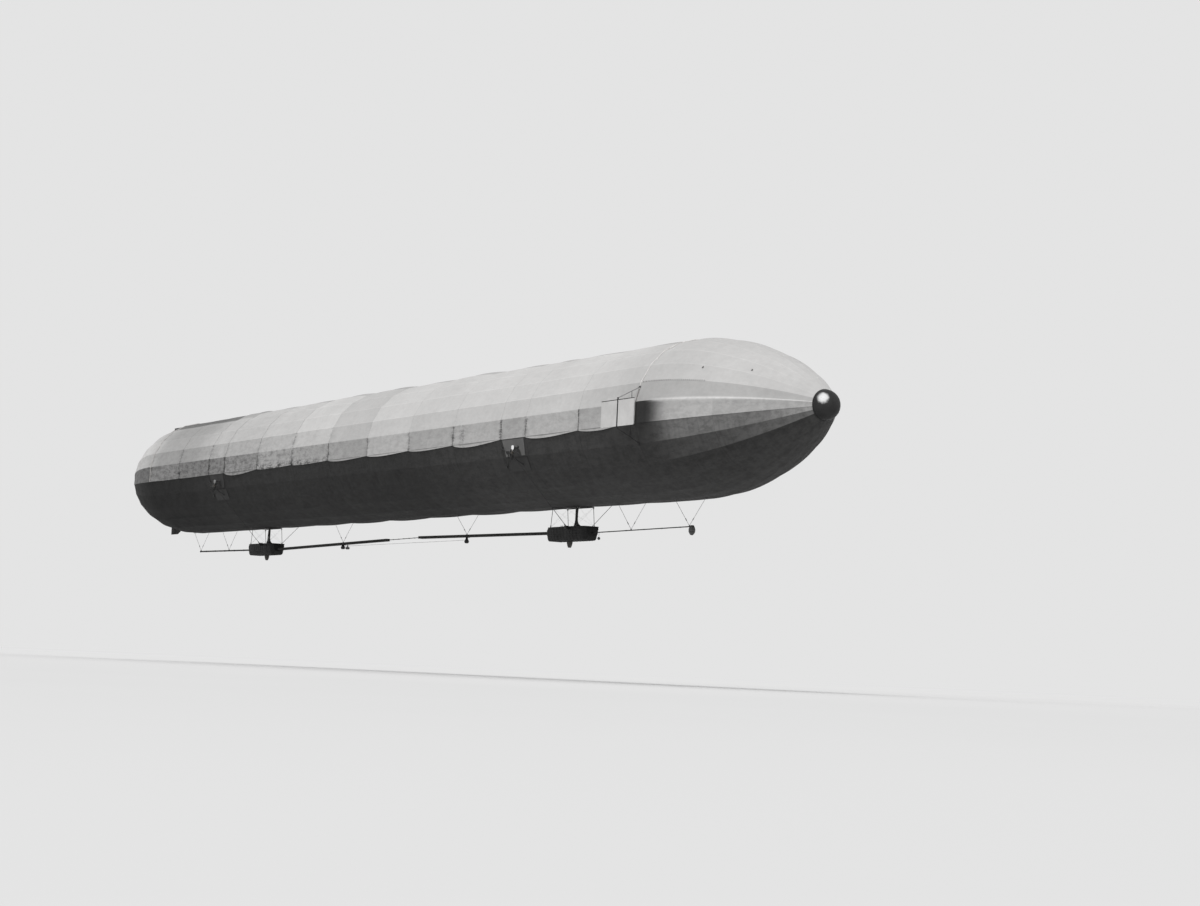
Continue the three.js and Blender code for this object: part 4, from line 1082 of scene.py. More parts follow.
gondola_sheet = worn_metal("gondola_sheet", grey(0.013), grey(0.06), chips=0.05, rough=0.6, metallic=0.1,
                           gloss=0.15)
gondola_tube = worn_metal("gondola_rim_tube", grey(0.016), grey(0.1), chips=0.08, rough=0.5, metallic=0.2,
                          gloss=0.2)
deck_boards = planked("deck_boards", grey(0.09, 0.1))
tarnished_brass = worn_metal("tarnished_brass", grey(0.16, 0.15), grey(0.45, 0.15), chips=0.1, rough=0.32,
                             metallic=0.9)
for end in ("fore", "aft"):
    middle = np.array([middle_x(f"{end}_gondola"), 0, 0])
    stations_x = np.unique(np.concatenate([np.linspace(a, b, 7) for a, b in zip(TUB_X[:-1], TUB_X[1:])]))
    rows = tub_section(stations_x)
    ends = [[row * [1, share, 1] for share in (0.02, 0.35, 0.7)] for row in (rows[0], rows[-1])]
    shell = loft(np.concatenate([ends[0], rows, ends[1][::-1]]) + middle, open_edge=True)
    made = piece(f"{end}_gondola_shell", [(gondola_sheet, shell)], "gondola_metal", f"{end}_gondola",
                 sharp=50)
    wall = made.modifiers.new("wall", "SOLIDIFY")
    wall.thickness, wall.offset = TUB_WALL, -1

    rim_x = np.linspace(TUB_X[0], TUB_X[-1], 41)
    rim_y = np.interp(rim_x, TUB_X, TUB_RIM_HALF)
    port = np.stack([rim_x, rim_y, 0 * rim_x + RIM_Z], -1)
    fore_end = np.stack([0 * rim_y[:7] + TUB_X[-1], np.linspace(0.05, -0.05, 7), 0 * rim_y[:7] + RIM_Z], -1)
    loop = np.concatenate([port, fore_end, port[::-1] * [1, -1, 1], fore_end[::-1] * [-1, 1, 1]])
    forms = [tube(leant(loop) + middle, 0.0032, 10, closed=True)]
    for share in RUB_RAILS_DOWN:
        row = tub_section(rim_x, 0.0006)
        at = int(round(share / BILGE_FROM * 6))
        forms.append(both_sides(tube(row[:, at] + middle, 0.0017, 8)))
    rib_x = np.arange(-5, 6) * RIB_PITCH
    ribs = [tube(tub_section(x, 0.0004)[0] + middle, 0.0015, 6) for x in rib_x]
    beads = []
    for x in rib_x:
        for beside in (-0.0036, 0.0036):
            row = tub_section(x + beside, 0.0003)[0]
            gone = np.append(0, np.cumsum(np.linalg.norm(np.diff(row, axis=0), axis=1)))
            spots = np.arange(0.006, gone[-1] - 0.004, 0.009)
            beads.append(np.stack([np.interp(spots, gone, row[:, k]) for k in range(3)], -1))
    rivets = copies(bead(0.0007), set_at(np.concatenate(beads) + middle))
    layers = [(gondola_tube, together(*forms)), (frame_iron, together(*ribs, rivets))]
    planks = plates_at([(0, y, DECK_Z + 0.00095) for y in np.arange(-3, 4) * BOARD_WIDTH],
                       (0.51, BOARD_WIDTH - 0.0014, BOARD_THICK))
    bearers = [block((-0.25, y - 0.004, -0.8458), (0.25, y + 0.004, DECK_Z)) for y in (-0.032, 0.032)]
    cradle = [block((TANK_X - 0.007, y - 0.003, DECK_Z), (TANK_X + 0.007, y + 0.003, -0.79))
              for y in (-CRADLE_Y, CRADLE_Y)]
    thwarts = []
    for x in THWARTS_X:
        span = (x - THWART_HALF, x + THWART_HALF)
        rim, floor = (min(np.interp(span, TUB_X, row)) for row in (TUB_RIM_HALF, TUB_FLOOR_HALF))
        half = rim + (floor - rim) * (RIM_Z - THWART_Z) / (RIM_Z - min(TUB_KEEL)) - 0.001
        thwarts.append(block((span[0], -half, THWART_Z - THWART_THICK / 2),
                             (span[1], half, THWART_Z + THWART_THICK / 2)))
    floor_boards = copies(together(planks, *bearers, *cradle, *thwarts), set_at(middle))
    tank_at = middle + (TANK_X, 0, TANK_Z)
    tank = turned([(0.006, -0.048), (0.015, -0.044), (TANK_RADIUS, -0.036), (TANK_RADIUS, 0.036),
                   (0.015, 0.044), (0.006, 0.048)], tank_at, axis=1, around=24)
    bands = [turned([(TANK_RADIUS, y - 0.002), (TANK_RADIUS + 0.0008, y - 0.002),
                     (TANK_RADIUS + 0.0008, y + 0.002), (TANK_RADIUS, y + 0.002)], tank_at, axis=1, around=24)
             for y in (-CRADLE_Y, CRADLE_Y)]
    layers += [(deck_boards, floor_boards), (tarnished_brass, together(tank, *bands))]
    if end == "fore":
        post = rod(middle + (POST_AT, 0, DECK_Z), middle + (POST_AT, 0, GAUGE_Z + 0.001), 0.003)
        gauge_at = middle + (POST_AT, 0.018, GAUGE_Z)
        gauge = turned([(0.006, 0), (0.0075, 0.001), (0.0075, 0.004), (0.006, 0.005)], gauge_at, axis=0,
                       around=20)
        arm = rod(middle + (POST_AT, 0, GAUGE_Z), gauge_at, 0.0015, 8)
        helm = wheel(middle + (0.256, 0, -0.762), 0.017, 0.0014, 6)
        layers += [(frame_iron, together(post, arm)), (tarnished_brass, together(gauge, helm))]
    else:
        fins = [block((0.262, y - 0.0008, -0.815), (0.27, y + 0.0008, -0.755), 0.0003)
                for y in np.linspace(-0.034, 0.034, 18)]
        frame_bars = [block((0.258, -0.04, z), (0.274, 0.04, z + 0.006)) for z in (-0.82, -0.757)]
        layers.append((tarnished_brass, copies(together(*fins, *frame_bars), set_at(middle))))
    piece(f"{end}_gondola_fittings", layers, "gondola_metal")

# Engines.
# A four-cylinder iron engine stands on timber bearers in each tub. A flywheel and a belt of gears drive a
# side shaft to a gear case by the ladder trunk, and a cross shaft there turns both bevel boxes outside.
CYLINDERS, CYLINDER_PITCH, CYLINDER_RADIUS = 4, 0.0245, 0.0105
SIDE_SHAFT_Y, SIDE_SHAFT_Z, CROSS_SHAFT_Z = 0.035, -0.815, -0.749
EXHAUST_Y, VALVE_CHEST_Z, INTAKE_Y, INTAKE_Z = -0.0215, -0.757, 0.0185, -0.768
FLYWHEEL_OUTLINE = ((0.004, -0.071), (0.0245, -0.07), (0.027, -0.0685), (0.027, -0.0595), (0.0245, -0.058),
                    (0.004, -0.057))
engine_iron = worn_metal("engine_iron", grey(0.03, 0.04), grey(0.2), chips=0.1, rough=0.45, metallic=0.7)
oiled_steel = worn_metal("oiled_steel", grey(0.09, 0.03), grey(0.35), chips=0.12, rough=0.28, metallic=0.9)
for end in ("fore", "aft"):
    middle = np.array([middle_x(f"{end}_engine"), 0, 0])
    trunk_x = middle_x(f"{end}_gondola") + TRUNK_X
    bearers = both_sides(block((-0.075, 0.016, DECK_Z), (0.062, 0.026, DECK_Z + 0.009)))
    crankcase = block((-0.05, -0.02, -0.835), (0.05, 0.02, -0.802), 0.005)
    sump = block((-0.044, -0.014, -0.8405), (0.044, 0.014, -0.833), 0.004)
    barrel = [(0.008, -0.803), (CYLINDER_RADIUS + 0.0015, -0.8025), (CYLINDER_RADIUS + 0.0015, -0.7995),
              (CYLINDER_RADIUS, -0.799), (CYLINDER_RADIUS, -0.752), (CYLINDER_RADIUS + 0.0012, -0.751),
              (CYLINDER_RADIUS + 0.0012, -0.748), (0.009, -0.747), (0.0088, -0.733), (0.007, -0.7305),
              (0.003, -0.7295), (0.003, -0.7215), (0.0018, -0.7205)]
    places = [(x, 0, 0) for x in (np.arange(CYLINDERS) - 1.5) * CYLINDER_PITCH]
    barrels = copies(turned(barrel, around=20), set_at(places))
    chests = plates_at([(x, -0.0125, VALVE_CHEST_Z) for x, _, _ in places], (0.013, 0.011, 0.016))
    run = np.linspace(-0.046, 0.04, 12)
    exhaust = [(x, EXHAUST_Y, VALVE_CHEST_Z) for x in run]
    exhaust += [(0.047, EXHAUST_Y, -0.764), (0.05, -0.0225, -0.78), (0.05, -0.024, -0.8),
                (0.049, -0.024, -0.825)]
    intake = [(x, INTAKE_Y, INTAKE_Z) for x in run] + [(0.045, INTAKE_Y, -0.772), (0.046, INTAKE_Y, -0.785)]
    stubs = [rod((x, 0.008, INTAKE_Z), (x, INTAKE_Y, INTAKE_Z), 0.0024, 10) for x, _, _ in places]
    carburettor = turned([(0.004, -0.8), (0.0065, -0.798), (0.0065, -0.786), (0.004, -0.784)],
                         (0.046, INTAKE_Y, 0), around=18)
    pushrods = [rod((x, 0.0135, -0.803), (x, 0.0135, -0.748), 0.0009, 6) for x, _, _ in places]
    flywheel = turned(FLYWHEEL_OUTLINE, (0, 0, -0.812), axis=0, around=40)
    belt_case = block((-0.08, -0.012, -0.8265), (-0.0715, 0.047, -0.8035), 0.002)
    own = copies(together(crankcase, sump, barrels, chests, tube(exhaust, 0.0042, 12), belt_case),
                 set_at(middle))
    bright = copies(together(tube(intake, 0.0034, 12), *stubs, carburettor, *pushrods, flywheel),
                    set_at(middle))
    case_x = trunk_x - 0.033
    side_shaft = rod((middle[0] - 0.078, SIDE_SHAFT_Y, SIDE_SHAFT_Z), (case_x, SIDE_SHAFT_Y, SIDE_SHAFT_Z),
                     0.0024)
    gear_case = block((case_x - 0.011, 0.022, DECK_Z), (case_x + 0.011, 0.048, -0.803), 0.003)
    upright = rod((case_x, SIDE_SHAFT_Y, -0.805), (case_x, SIDE_SHAFT_Y, CROSS_SHAFT_Z), 0.0022)
    cross_shaft = rod((case_x, -0.091, CROSS_SHAFT_Z), (case_x, 0.091, CROSS_SHAFT_Z), 0.0022)
    knee = plates_at([(case_x, SIDE_SHAFT_Y, CROSS_SHAFT_Z)], (0.01, 0.012, 0.01))
    layers = [(engine_iron, together(own, gear_case, knee)),
              (oiled_steel, together(bright, side_shaft, upright, cross_shaft)),
              (deck_boards, copies(bearers, set_at(middle)))]
    piece(f"{end}_engine_works", layers, "engine_iron", f"{end}_engine")

# Buffers.
# A leather pear hangs under each tub to take a landing: eight stitched gores stuffed hard, held to the floor
# by an iron band.
GORES, GORE_DIP, BUFFER_TOP_RADIUS, BUFFER_FOOT_RADIUS = 8, 0.0011, 0.0242, 0.012


def hide(name, colour):
    """Oiled leather: its colour paler where it is scuffed, with pebbled grain as bump."""
    made, tree, shader, place = new_material(name)
    cells = node(tree, "ShaderNodeTexVoronoi", {"Vector": place, "Scale": 900}).outputs["Distance"]
    scuffs = ranged(tree, noise(tree, place, 110, 7, 0.7), 0.5, 0.75, 0.0, 1.0)
    scuffed = tuple(2.6 * share for share in colour[:3]) + (1,)
    feed(tree, shader, {"Base Color": blended(tree, scuffs, colour, scuffed),
                        "Roughness": ranged(tree, scuffs, 0, 1, 0.45, 0.8)})
    bumped(tree, shader, maths(tree, "ADD", cells, product(tree, scuffs, 0.4)), 0.0004, 0.6)
    return made


oiled_leather = hide("oiled_leather", grey(0.02, 0.12))
for end in ("fore", "aft"):
    low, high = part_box(f"{end}_buffer")
    middle = np.array([(low.x + high.x) / 2, 0, 0])
    drop = np.linspace(0, 1, 30)
    radius = BUFFER_TOP_RADIUS - (BUFFER_TOP_RADIUS - BUFFER_FOOT_RADIUS) * drop**1.8
    radius[0] -= 0.0015
    radius[-1] -= 0.003
    turn = angles_round(96)
    off_seam = np.abs((turn * GORES / (2 * np.pi) + 0.5) % 1 - 0.5)
    dip = (GORE_DIP * np.exp(-((off_seam / 0.09) ** 2))
           * np.sin(np.pi * np.clip(drop, 0.02, 0.98))[:, None] ** 0.5)
    reach = radius[:, None] - dip
    z = (high.z + (low.z - high.z) * drop)[:, None] + 0 * turn
    rings = np.stack([middle[0] + reach * np.cos(turn), reach * np.sin(turn), z], -1)
    made = piece(f"{end}_buffer_pad", [(oiled_leather, loft(rings))], "padding", f"{end}_buffer", sharp=60)
    band = turned([(0.0235, high.z - 0.004), (0.0252, high.z - 0.0035), (0.0252, high.z - 0.0005),
                   (0.0235, high.z)], middle, around=48)
    seam = (np.arange(GORES)[:, None] + 0 * drop[None, 2:-2]) * 2 * np.pi / GORES
    seam_reach = (radius - GORE_DIP)[None, 2:-2] + 0.0002
    stitches = np.stack([middle[0] + seam_reach * np.cos(seam), seam_reach * np.sin(seam),
                         z[None, 2:-2, 0] + 0 * seam], -1)
    layers = [(frame_iron, band), (tarred_hemp, copies(bead(0.0006), set_at(stitches.reshape(-1, 3))))]
    piece(f"{end}_buffer_band", layers, "padding")

# Outriggers and drive shafts.
# Four tubes from riveted feet on two facets carry each propeller's iron housing beside the hull. A thin shaft
# in two couplings runs up to it from a bevel box on the gondola's side, all painted dark against the cover.
HUB_Y, HUB_Z, HOUSING_RADIUS, ARM_RADIUS = 0.635, -0.205, 0.012, 0.0035
ARM_FEET = ((0.2, FACET), (0.2, 2 * FACET), (-0.06, FACET), (-0.06, 2 * FACET))
SHAFT_X, SHAFT_FOOT_Y, SHAFT_FOOT_Z, SHAFT_RADIUS = -0.093, 0.105, -0.749, 0.0019
HOUSING_OUTLINE = ((0.009, -0.098), (0.012, -0.0978), (0.013, -0.097), (0.013, -0.0935), (0.0112, -0.093),
                   (0.0112, -0.058), (0.0122, -0.057), (0.0122, -0.05), (0.0112, -0.049), (0.0112, -0.0425),
                   (0.013, -0.042), (0.013, -0.0385), (0.009, -0.038))
SHAFT_OUTLINE = ((0.005, 0.0028), (0.02, 0.0042), (0.034, 0.0042), (0.035, SHAFT_RADIUS),
                 (0.33, SHAFT_RADIUS), (0.331, 0.003), (0.345, 0.003), (0.346, SHAFT_RADIUS),
                 (-0.022, SHAFT_RADIUS), (-0.021, 0.0042), (-0.006, 0.0042), (-0.0005, 0.0028))


def along_line(start, end, profile, around=16):
    """A turned form on the line between two points, from pairs of metres gone from the start and radius.
    Metres below zero are counted back from the end."""
    start, end = np.asarray(start, float), np.asarray(end, float)
    length = np.linalg.norm(end - start)
    gone, radius = np.asarray(profile, float).T
    gone = np.where(gone < 0, gone + length, gone)
    return tube(start + gone[:, None] * (end - start) / length, radius, around)


def turnbuckle(start, end, radius, at=0.5):
    """A wire or rod between two points with eyes at its ends and a turnbuckle at a share of its length."""
    length = np.linalg.norm(np.asarray(end, float) - start)
    mid = at * length
    profile = [(0, 0.8 * radius), (0.004, 2 * radius), (0.009, radius), (mid - 0.012, radius),
               (mid - 0.011, 2.2 * radius), (mid + 0.011, 2.2 * radius), (mid + 0.012, radius),
               (-0.009, radius), (-0.004, 2 * radius), (-0.0002, 0.8 * radius)]
    return along_line(start, end, profile, 10)


hull_paint = worn_metal("cover_toned_paint", grey(0.03), grey(0.07), chips=0.05, rough=0.7, metallic=0.0,
                        gloss=0.15)
foot_disc = turned([(0.0135, 0), (0.0135, 0.0012), (0.0075, 0.0022), (0.0055, 0.006), (0.003, 0.0065)],
                   around=24)
hull_foot = together(foot_disc, bead_ring(0.0012, 0.0108, 6, 0.0015))
for end in ("fore", "aft"):
    centre = middle_x(f"{end}_gondola")
    hub = np.array([centre, HUB_Y, HUB_Z])
    housing = turned(HOUSING_OUTLINE, hub, axis=0, around=32)
    bolts = copies(bead_ring(0.0009, 0.0105, 8, -0.0382, axis=0), set_at(hub))
    arms, feet, wires, ends = [], [], [], []
    for x, angle in ARM_FEET:
        reach = HULL_FLAT - 0.001
        foot = np.array([centre + x, reach * math.cos(angle), -reach * math.sin(angle)])
        start = hub + (-0.05, 0, 0)
        arms.append(along_line(start, foot, [(0, ARM_RADIUS), (-0.018, ARM_RADIUS), (-0.0175, 0.0047),
                                             (-0.0005, 0.0047)], 14))
        feet.append(on_hull(centre + x, -angle, 0.0006))
        ends.append(foot)
    for one, two in ((0, 3), (1, 2), (0, 1), (2, 3)):
        lift = np.array([0, 0.012, -0.004])
        wires.append(rod(ends[one] + lift, ends[two] + lift, WIRE_RADIUS, 6))
    for side, turn in SIDES:
        layers = [(hull_paint, together(*arms)),
                  (frame_iron, together(housing, bolts, copies(hull_foot, np.concatenate(feet)), *wires))]
        piece(f"{end}_{side}_outrigger", each(layers, turn), "framing", f"{end}_outrigger_{side}")
        foot = np.array([centre + SHAFT_X, SHAFT_FOOT_Y, SHAFT_FOOT_Z])
        head = np.array([centre + SHAFT_X, HUB_Y, HUB_Z])
        head = head + (foot - head) / np.linalg.norm(foot - head) * (HOUSING_RADIUS + 0.0003)
        shaft = along_line(foot, head, SHAFT_OUTLINE)
        box = block((foot[0] - 0.012, 0.0903, foot[2] - 0.013), (foot[0] + 0.012, 0.12, foot[2] + 0.013),
                    0.0035)
        lid = block((foot[0] - 0.009, 0.1195, foot[2] - 0.01), (foot[0] + 0.009, 0.1215, foot[2] + 0.006),
                    0.0008)
        studs = copies(bead(0.0009), set_at([(foot[0] + dx, 0.1216, foot[2] - 0.002 + dz)
                                             for dx in (-0.0072, 0.0072) for dz in (-0.0062, 0.0062)]))
        layers = [(hull_paint, shaft), (frame_iron, together(box, lid, studs))]
        piece(f"{end}_{side}_shaft", each(layers, turn), "bare_metal", f"{end}_drive_shaft_{side}")

# Propellers.
# Four flat blades of sheet, twisted from root to tip, are riveted to arms that screw into a bronze hub. Each
# propeller turns on the end of its housing. Its blade straight up at rest has a painted glint, fainter on the
# fore propellers, and its other three blades are painted dark as if unlit.
BLADE_ROOT, BLADE_TIP, BLADE_CHORD, TIP_ROUND_FROM = 0.016, 0.0575, 0.02, 0.78
ROOT_PITCH, TIP_PITCH = math.radians(50), math.radians(24)
HUB_OUTLINE = ((0.004, -0.0117), (0.0062, -0.0112), (0.0062, -0.0075), (0.009, -0.007), (0.009, 0.007),
               (0.0072, 0.008), (0.006, 0.0115), (0.004, 0.0117))


def blade():
    """A blade straight up from the shaft: at each height a thin oval, long by the chord and turned by the
    pitch. The chord swells from the root, and the tip closes as a half ellipse."""
    round_end = 1 - TIP_ROUND_FROM
    tip_rows = TIP_ROUND_FROM + round_end * np.sin(np.linspace(0.1, 1, 12)[:-1] * np.pi / 2)
    share = np.concatenate([np.linspace(0, TIP_ROUND_FROM, 12), tip_rows])
    half = BLADE_CHORD / 2 * (0.3 + 0.7 * smooth_step(share, 0, 0.5))
    half = half * np.sqrt(1 - np.clip((share - TIP_ROUND_FROM) / round_end, 0, 1) ** 2)
    thick = 0.0011 - 0.0007 * share
    pitch = ROOT_PITCH + (TIP_PITCH - ROOT_PITCH) * share
    turn = angles_round(14)
    chord, lift = half[:, None] * np.cos(turn), thick[:, None] * np.sin(turn)
    x = chord * np.sin(pitch)[:, None] + lift * np.cos(pitch)[:, None]
    y = chord * np.cos(pitch)[:, None] - lift * np.sin(pitch)[:, None]
    z = np.broadcast_to((BLADE_ROOT + (BLADE_TIP - BLADE_ROOT) * share)[:, None], x.shape)
    return loft(np.stack([x, y, z], -1))


def about_x(turns):
    """4 by 4 matrices that turn about the X axis."""
    turns = np.atleast_1d(turns)
    made = np.tile(np.eye(4), (len(turns), 1, 1))
    made[:, 1, 1] = made[:, 2, 2] = np.cos(turns)
    made[:, 2, 1] = np.sin(turns)
    made[:, 1, 2] = -np.sin(turns)
    return made


# Painted glint and shade: a bright sheet for the upward blade, a fainter one on the fore propellers, and a
# dark one for the three blades that catch no glint
blade_sheet = worn_metal("painted_glint_blade_sheet", grey(0.72), grey(0.4), chips=0.06, rough=0.36, metallic=0.5)
painted_faint_glint_blade = worn_metal("tarnished_blade_sheet", grey(0.22), grey(0.3), chips=0.08, rough=0.5,
                             metallic=0.4)
painted_unlit_blade = worn_metal("dull_blade_sheet", grey(0.05), grey(0.14), chips=0.08, rough=0.55, metallic=0.3,
                        gloss=0.3)
hub_bronze = worn_metal("hub_bronze", grey(0.12, 0.1), grey(0.4, 0.1), chips=0.1, rough=0.3, metallic=0.9)
quarters = about_x(np.arange(4) * np.pi / 2)
stem = along_line((0, 0, 0.006), (0, 0, 0.03), [(0, 0.0036), (0.004, 0.0036), (0.0045, 0.0024),
                                                (0.018, 0.0017), (-0.0002, 0.0009)], 12)
stem_rivets = copies(bead(0.0006), set_at([(0.0012, 0.001, z) for z in (0.0185, 0.022, 0.0255)]))
riveted_blade = together(blade(), stem_rivets)
hub_form = turned(HUB_OUTLINE, axis=0, around=28)
for end in ("fore", "aft"):
    for side in ("port", "starboard"):
        low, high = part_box(f"{end}_propeller_{side}")
        place = set_at([(low.x + high.x) / 2, (low.y + high.y) / 2, (low.z + high.z) / 2])
        # The upward blade carries the painted glint; the other three are painted dark
        layers = [(blade_sheet if end == "aft" else painted_faint_glint_blade, copies(riveted_blade, quarters[:1])),
                  (painted_unlit_blade, copies(riveted_blade, quarters[1:])),
                  (hub_bronze, together(hub_form, copies(stem, quarters)))]
        piece(f"{end}_{side}_screw", each(layers, lambda form: copies(form, place)), "bare_metal",
              f"{end}_propeller_{side}", body=f"{end}_{side}_rotor")

# Gangways and trim rail.
# Two narrow trussed walks with tarred canvas sides and cross planks join the gondolas, with a light tube
# between. Paired stays hang them from the hull, and their hangers hold the rail of the lead trim weight.
WALK_HALF, WALK_DEPTH_HALF, POST_PITCH, PLANK_PITCH = 0.02, 0.011, 0.06, 0.0105
TRUSS_HALF, TRUSS_FOOT, TRUSS_TOP, UPRIGHT_Y = 0.0184, -0.0094, 0.0084, 0.019
STAY_RADIUS, STAY_SPREAD = 0.0015, 0.2
GANGWAYS = {"fore": ((0.267, -0.762), (2.6877, -0.796), 1.21),
            "aft": ((-0.365, -0.755), (-2.6877, -0.778), -1.24)}


def height_on(start, end, x):
    """The height at x of the line between two points in X and Z."""
    return start[1] + (np.asarray(x) - start[0]) / (end[0] - start[0]) * (end[1] - start[1])


def sloped(form, start, end):
    """A form about the X axis lifted on to the line between two points in X and Z."""
    points, groups = form
    lift = height_on(start, end, points[:, 0])
    return points + np.stack([0 * lift, 0 * lift, lift], -1), groups


def pair_of_stays(x, z):
    """Two stays that spread from a shackle at the foot to stitched pads on the keel's facet."""
    return [turnbuckle((x, 0, z + 0.003), (x + way * STAY_SPREAD, 0, -HULL_FLAT), STAY_RADIUS, 0.24)
            for way in (-1, 1)]


def stay_pads(x):
    """Places on the keel's facet of the pads at the heads of a pair of stays."""
    return on_hull([x - STAY_SPREAD, x + STAY_SPREAD], -math.pi / 2, 0.0002)


wire_rope = worn_metal("galvanised_stay", grey(0.28), grey(0.4), chips=0.1, rough=0.45, metallic=0.3)
shackle = together(block((-0.004, -0.004, -0.001), (0.004, 0.004, 0.005), 0.0012),
                   rod((0, -0.0062, 0.0025), (0, 0.0062, 0.0025), 0.0012, 10))
head_pad = together(turned([(0.016, 0), (0.0155, 0.0012), (0.006, 0.0016), (0.004, 0.004)], around=28),
                    bead_ring(0.0008, 0.0132, 16, 0.0013))
pads = []
for end, (inner, outer, stay_x) in GANGWAYS.items():
    low, high = sorted((inner[0], outer[0]))
    core = block((low, -WALK_HALF + 0.0022, -WALK_DEPTH_HALF + 0.0015),
                 (high, WALK_HALF - 0.0022, WALK_DEPTH_HALF - 0.002))
    corner_rails = [block((low, y - 0.0016, z - 0.0016), (high, y + 0.0016, z + 0.0016), 0.0006)
                    for y in (-TRUSS_HALF, TRUSS_HALF) for z in (TRUSS_FOOT, TRUSS_TOP)]
    posts = np.arange(low + 0.02, high - 0.02, POST_PITCH)
    uprights = [rod((x, UPRIGHT_Y, TRUSS_FOOT), (x, UPRIGHT_Y, TRUSS_TOP), 0.0013, 8) for x in posts]
    slants = [rod((a, UPRIGHT_Y, -0.009), (b, UPRIGHT_Y, 0.008), 0.0009, 6)
              for a, b in zip(posts[:-1], posts[1:])]
    floors = [rod((x, -TRUSS_HALF, -0.0104), (x, TRUSS_HALF, -0.0104), 0.0012, 8) for x in posts]
    boards = np.arange(low + PLANK_PITCH / 2, high - PLANK_PITCH / 4, PLANK_PITCH)
    planks = plates_at([(x, 0, 0.0101) for x in boards], (0.0088, 0.037, 0.0018))
    truss = together(*corner_rails, both_sides(together(*uprights, *slants)), *floors)
    deck = float(height_on(inner, outer, stay_x))
    hanger = turned([(0.008, -0.826), (0.012, -0.8255), (0.0165, -0.8215), (0.0195, -0.816),
                     (0.0203, -0.8135), (0.0203, -0.8085), (0.0195, -0.806), (0.0165, -0.7995),
                     (0.013, -0.793), (0.0105, -0.788), (0.0098, deck - WALK_DEPTH_HALF)], (stay_x, 0, 0),
                    around=32)
    clamp = block((stay_x - 0.012, -0.0235, deck - 0.0135), (stay_x + 0.012, 0.0235, deck - 0.0105), 0.001)
    stays = together(*pair_of_stays(stay_x, deck + WALK_DEPTH_HALF))
    pads.append(stay_pads(stay_x))
    foot = copies(shackle, set_at((stay_x, 0, deck + WALK_DEPTH_HALF)))
    layers = [(trunk_canvas, sloped(core, inner, outer)), (frame_tube, sloped(truss, inner, outer)),
              (deck_boards, sloped(planks, inner, outer)), (frame_iron, together(hanger, clamp, foot)),
              (wire_rope, stays)]
    piece(f"{end}_walk", layers, "walkway", f"{end}_gangway")

start, end = GANGWAYS["aft"][0], GANGWAYS["fore"][0]
link = block((start[0] + 0.0003, -0.005, -0.0025), (end[0] - 0.0003, 0.005, 0.0025), 0.0012)
clips = [block((x - 0.006, -0.0062, -0.0036), (x + 0.006, 0.0062, 0.0036), 0.001)
         for x in np.linspace(start[0] + 0.008, end[0] - 0.008, 7)]
piece("link_bar", [(frame_tube, sloped(link, start, end)),
                   (frame_iron, sloped(together(*clips), start, end))], "walkway", "gangway_link")

low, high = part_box("trim_rail")
web = block((low.x, -0.0008, low.z), (high.x, 0.0008, high.z), 0.0003)
flanges = [block((low.x, low.y, z - 0.0006), (high.x, high.y, z + 0.0006), 0.0003)
           for z in (low.z + 0.0006, high.z - 0.0006)]
rail_alloy = worn_metal("rail_alloy", grey(0.55), grey(0.7), chips=0.1, rough=0.45, metallic=0.4)
piece("trim_rail_bar", [(rail_alloy, together(web, *flanges))], "framing", "trim_rail")

low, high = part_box("trim_weight")
weight_x, bob_foot, bob_top, roller_z = (low.x + high.x) / 2, low.z, -0.808, high.z - 0.003
bob = turned([(0.006, bob_foot), (0.012, bob_foot + 0.0006), (0.0185, bob_foot + 0.0045),
              (0.02, bob_foot + 0.0075), (0.02, bob_top - 0.006), (0.0185, bob_top - 0.003),
              (0.0145, bob_top - 0.0003), (0.006, bob_top)], (weight_x, 0, 0), around=36)
cheek = block((weight_x - 0.005, 0.003, bob_top - 0.004), (weight_x + 0.005, 0.006, roller_z + 0.003), 0.0006)
pin = rod((weight_x, -0.0066, roller_z), (weight_x, 0.0066, roller_z), 0.0012, 12)
roller = turned([(0.0028, -0.0028), (0.003, -0.0024), (0.0022, -0.0012), (0.0022, 0.0012), (0.003, 0.0024),
                 (0.0028, 0.0028)], (weight_x, 0, roller_z), axis=1, around=20)
cast_lead = worn_metal("cast_lead", grey(0.06), grey(0.14), chips=0.14, rough=0.55, metallic=0.5)
piece("rolling_weight", [(cast_lead, bob), (frame_iron, together(both_sides(cheek), pin, roller))], "lead",
      "trim_weight", body="sliding_weight")

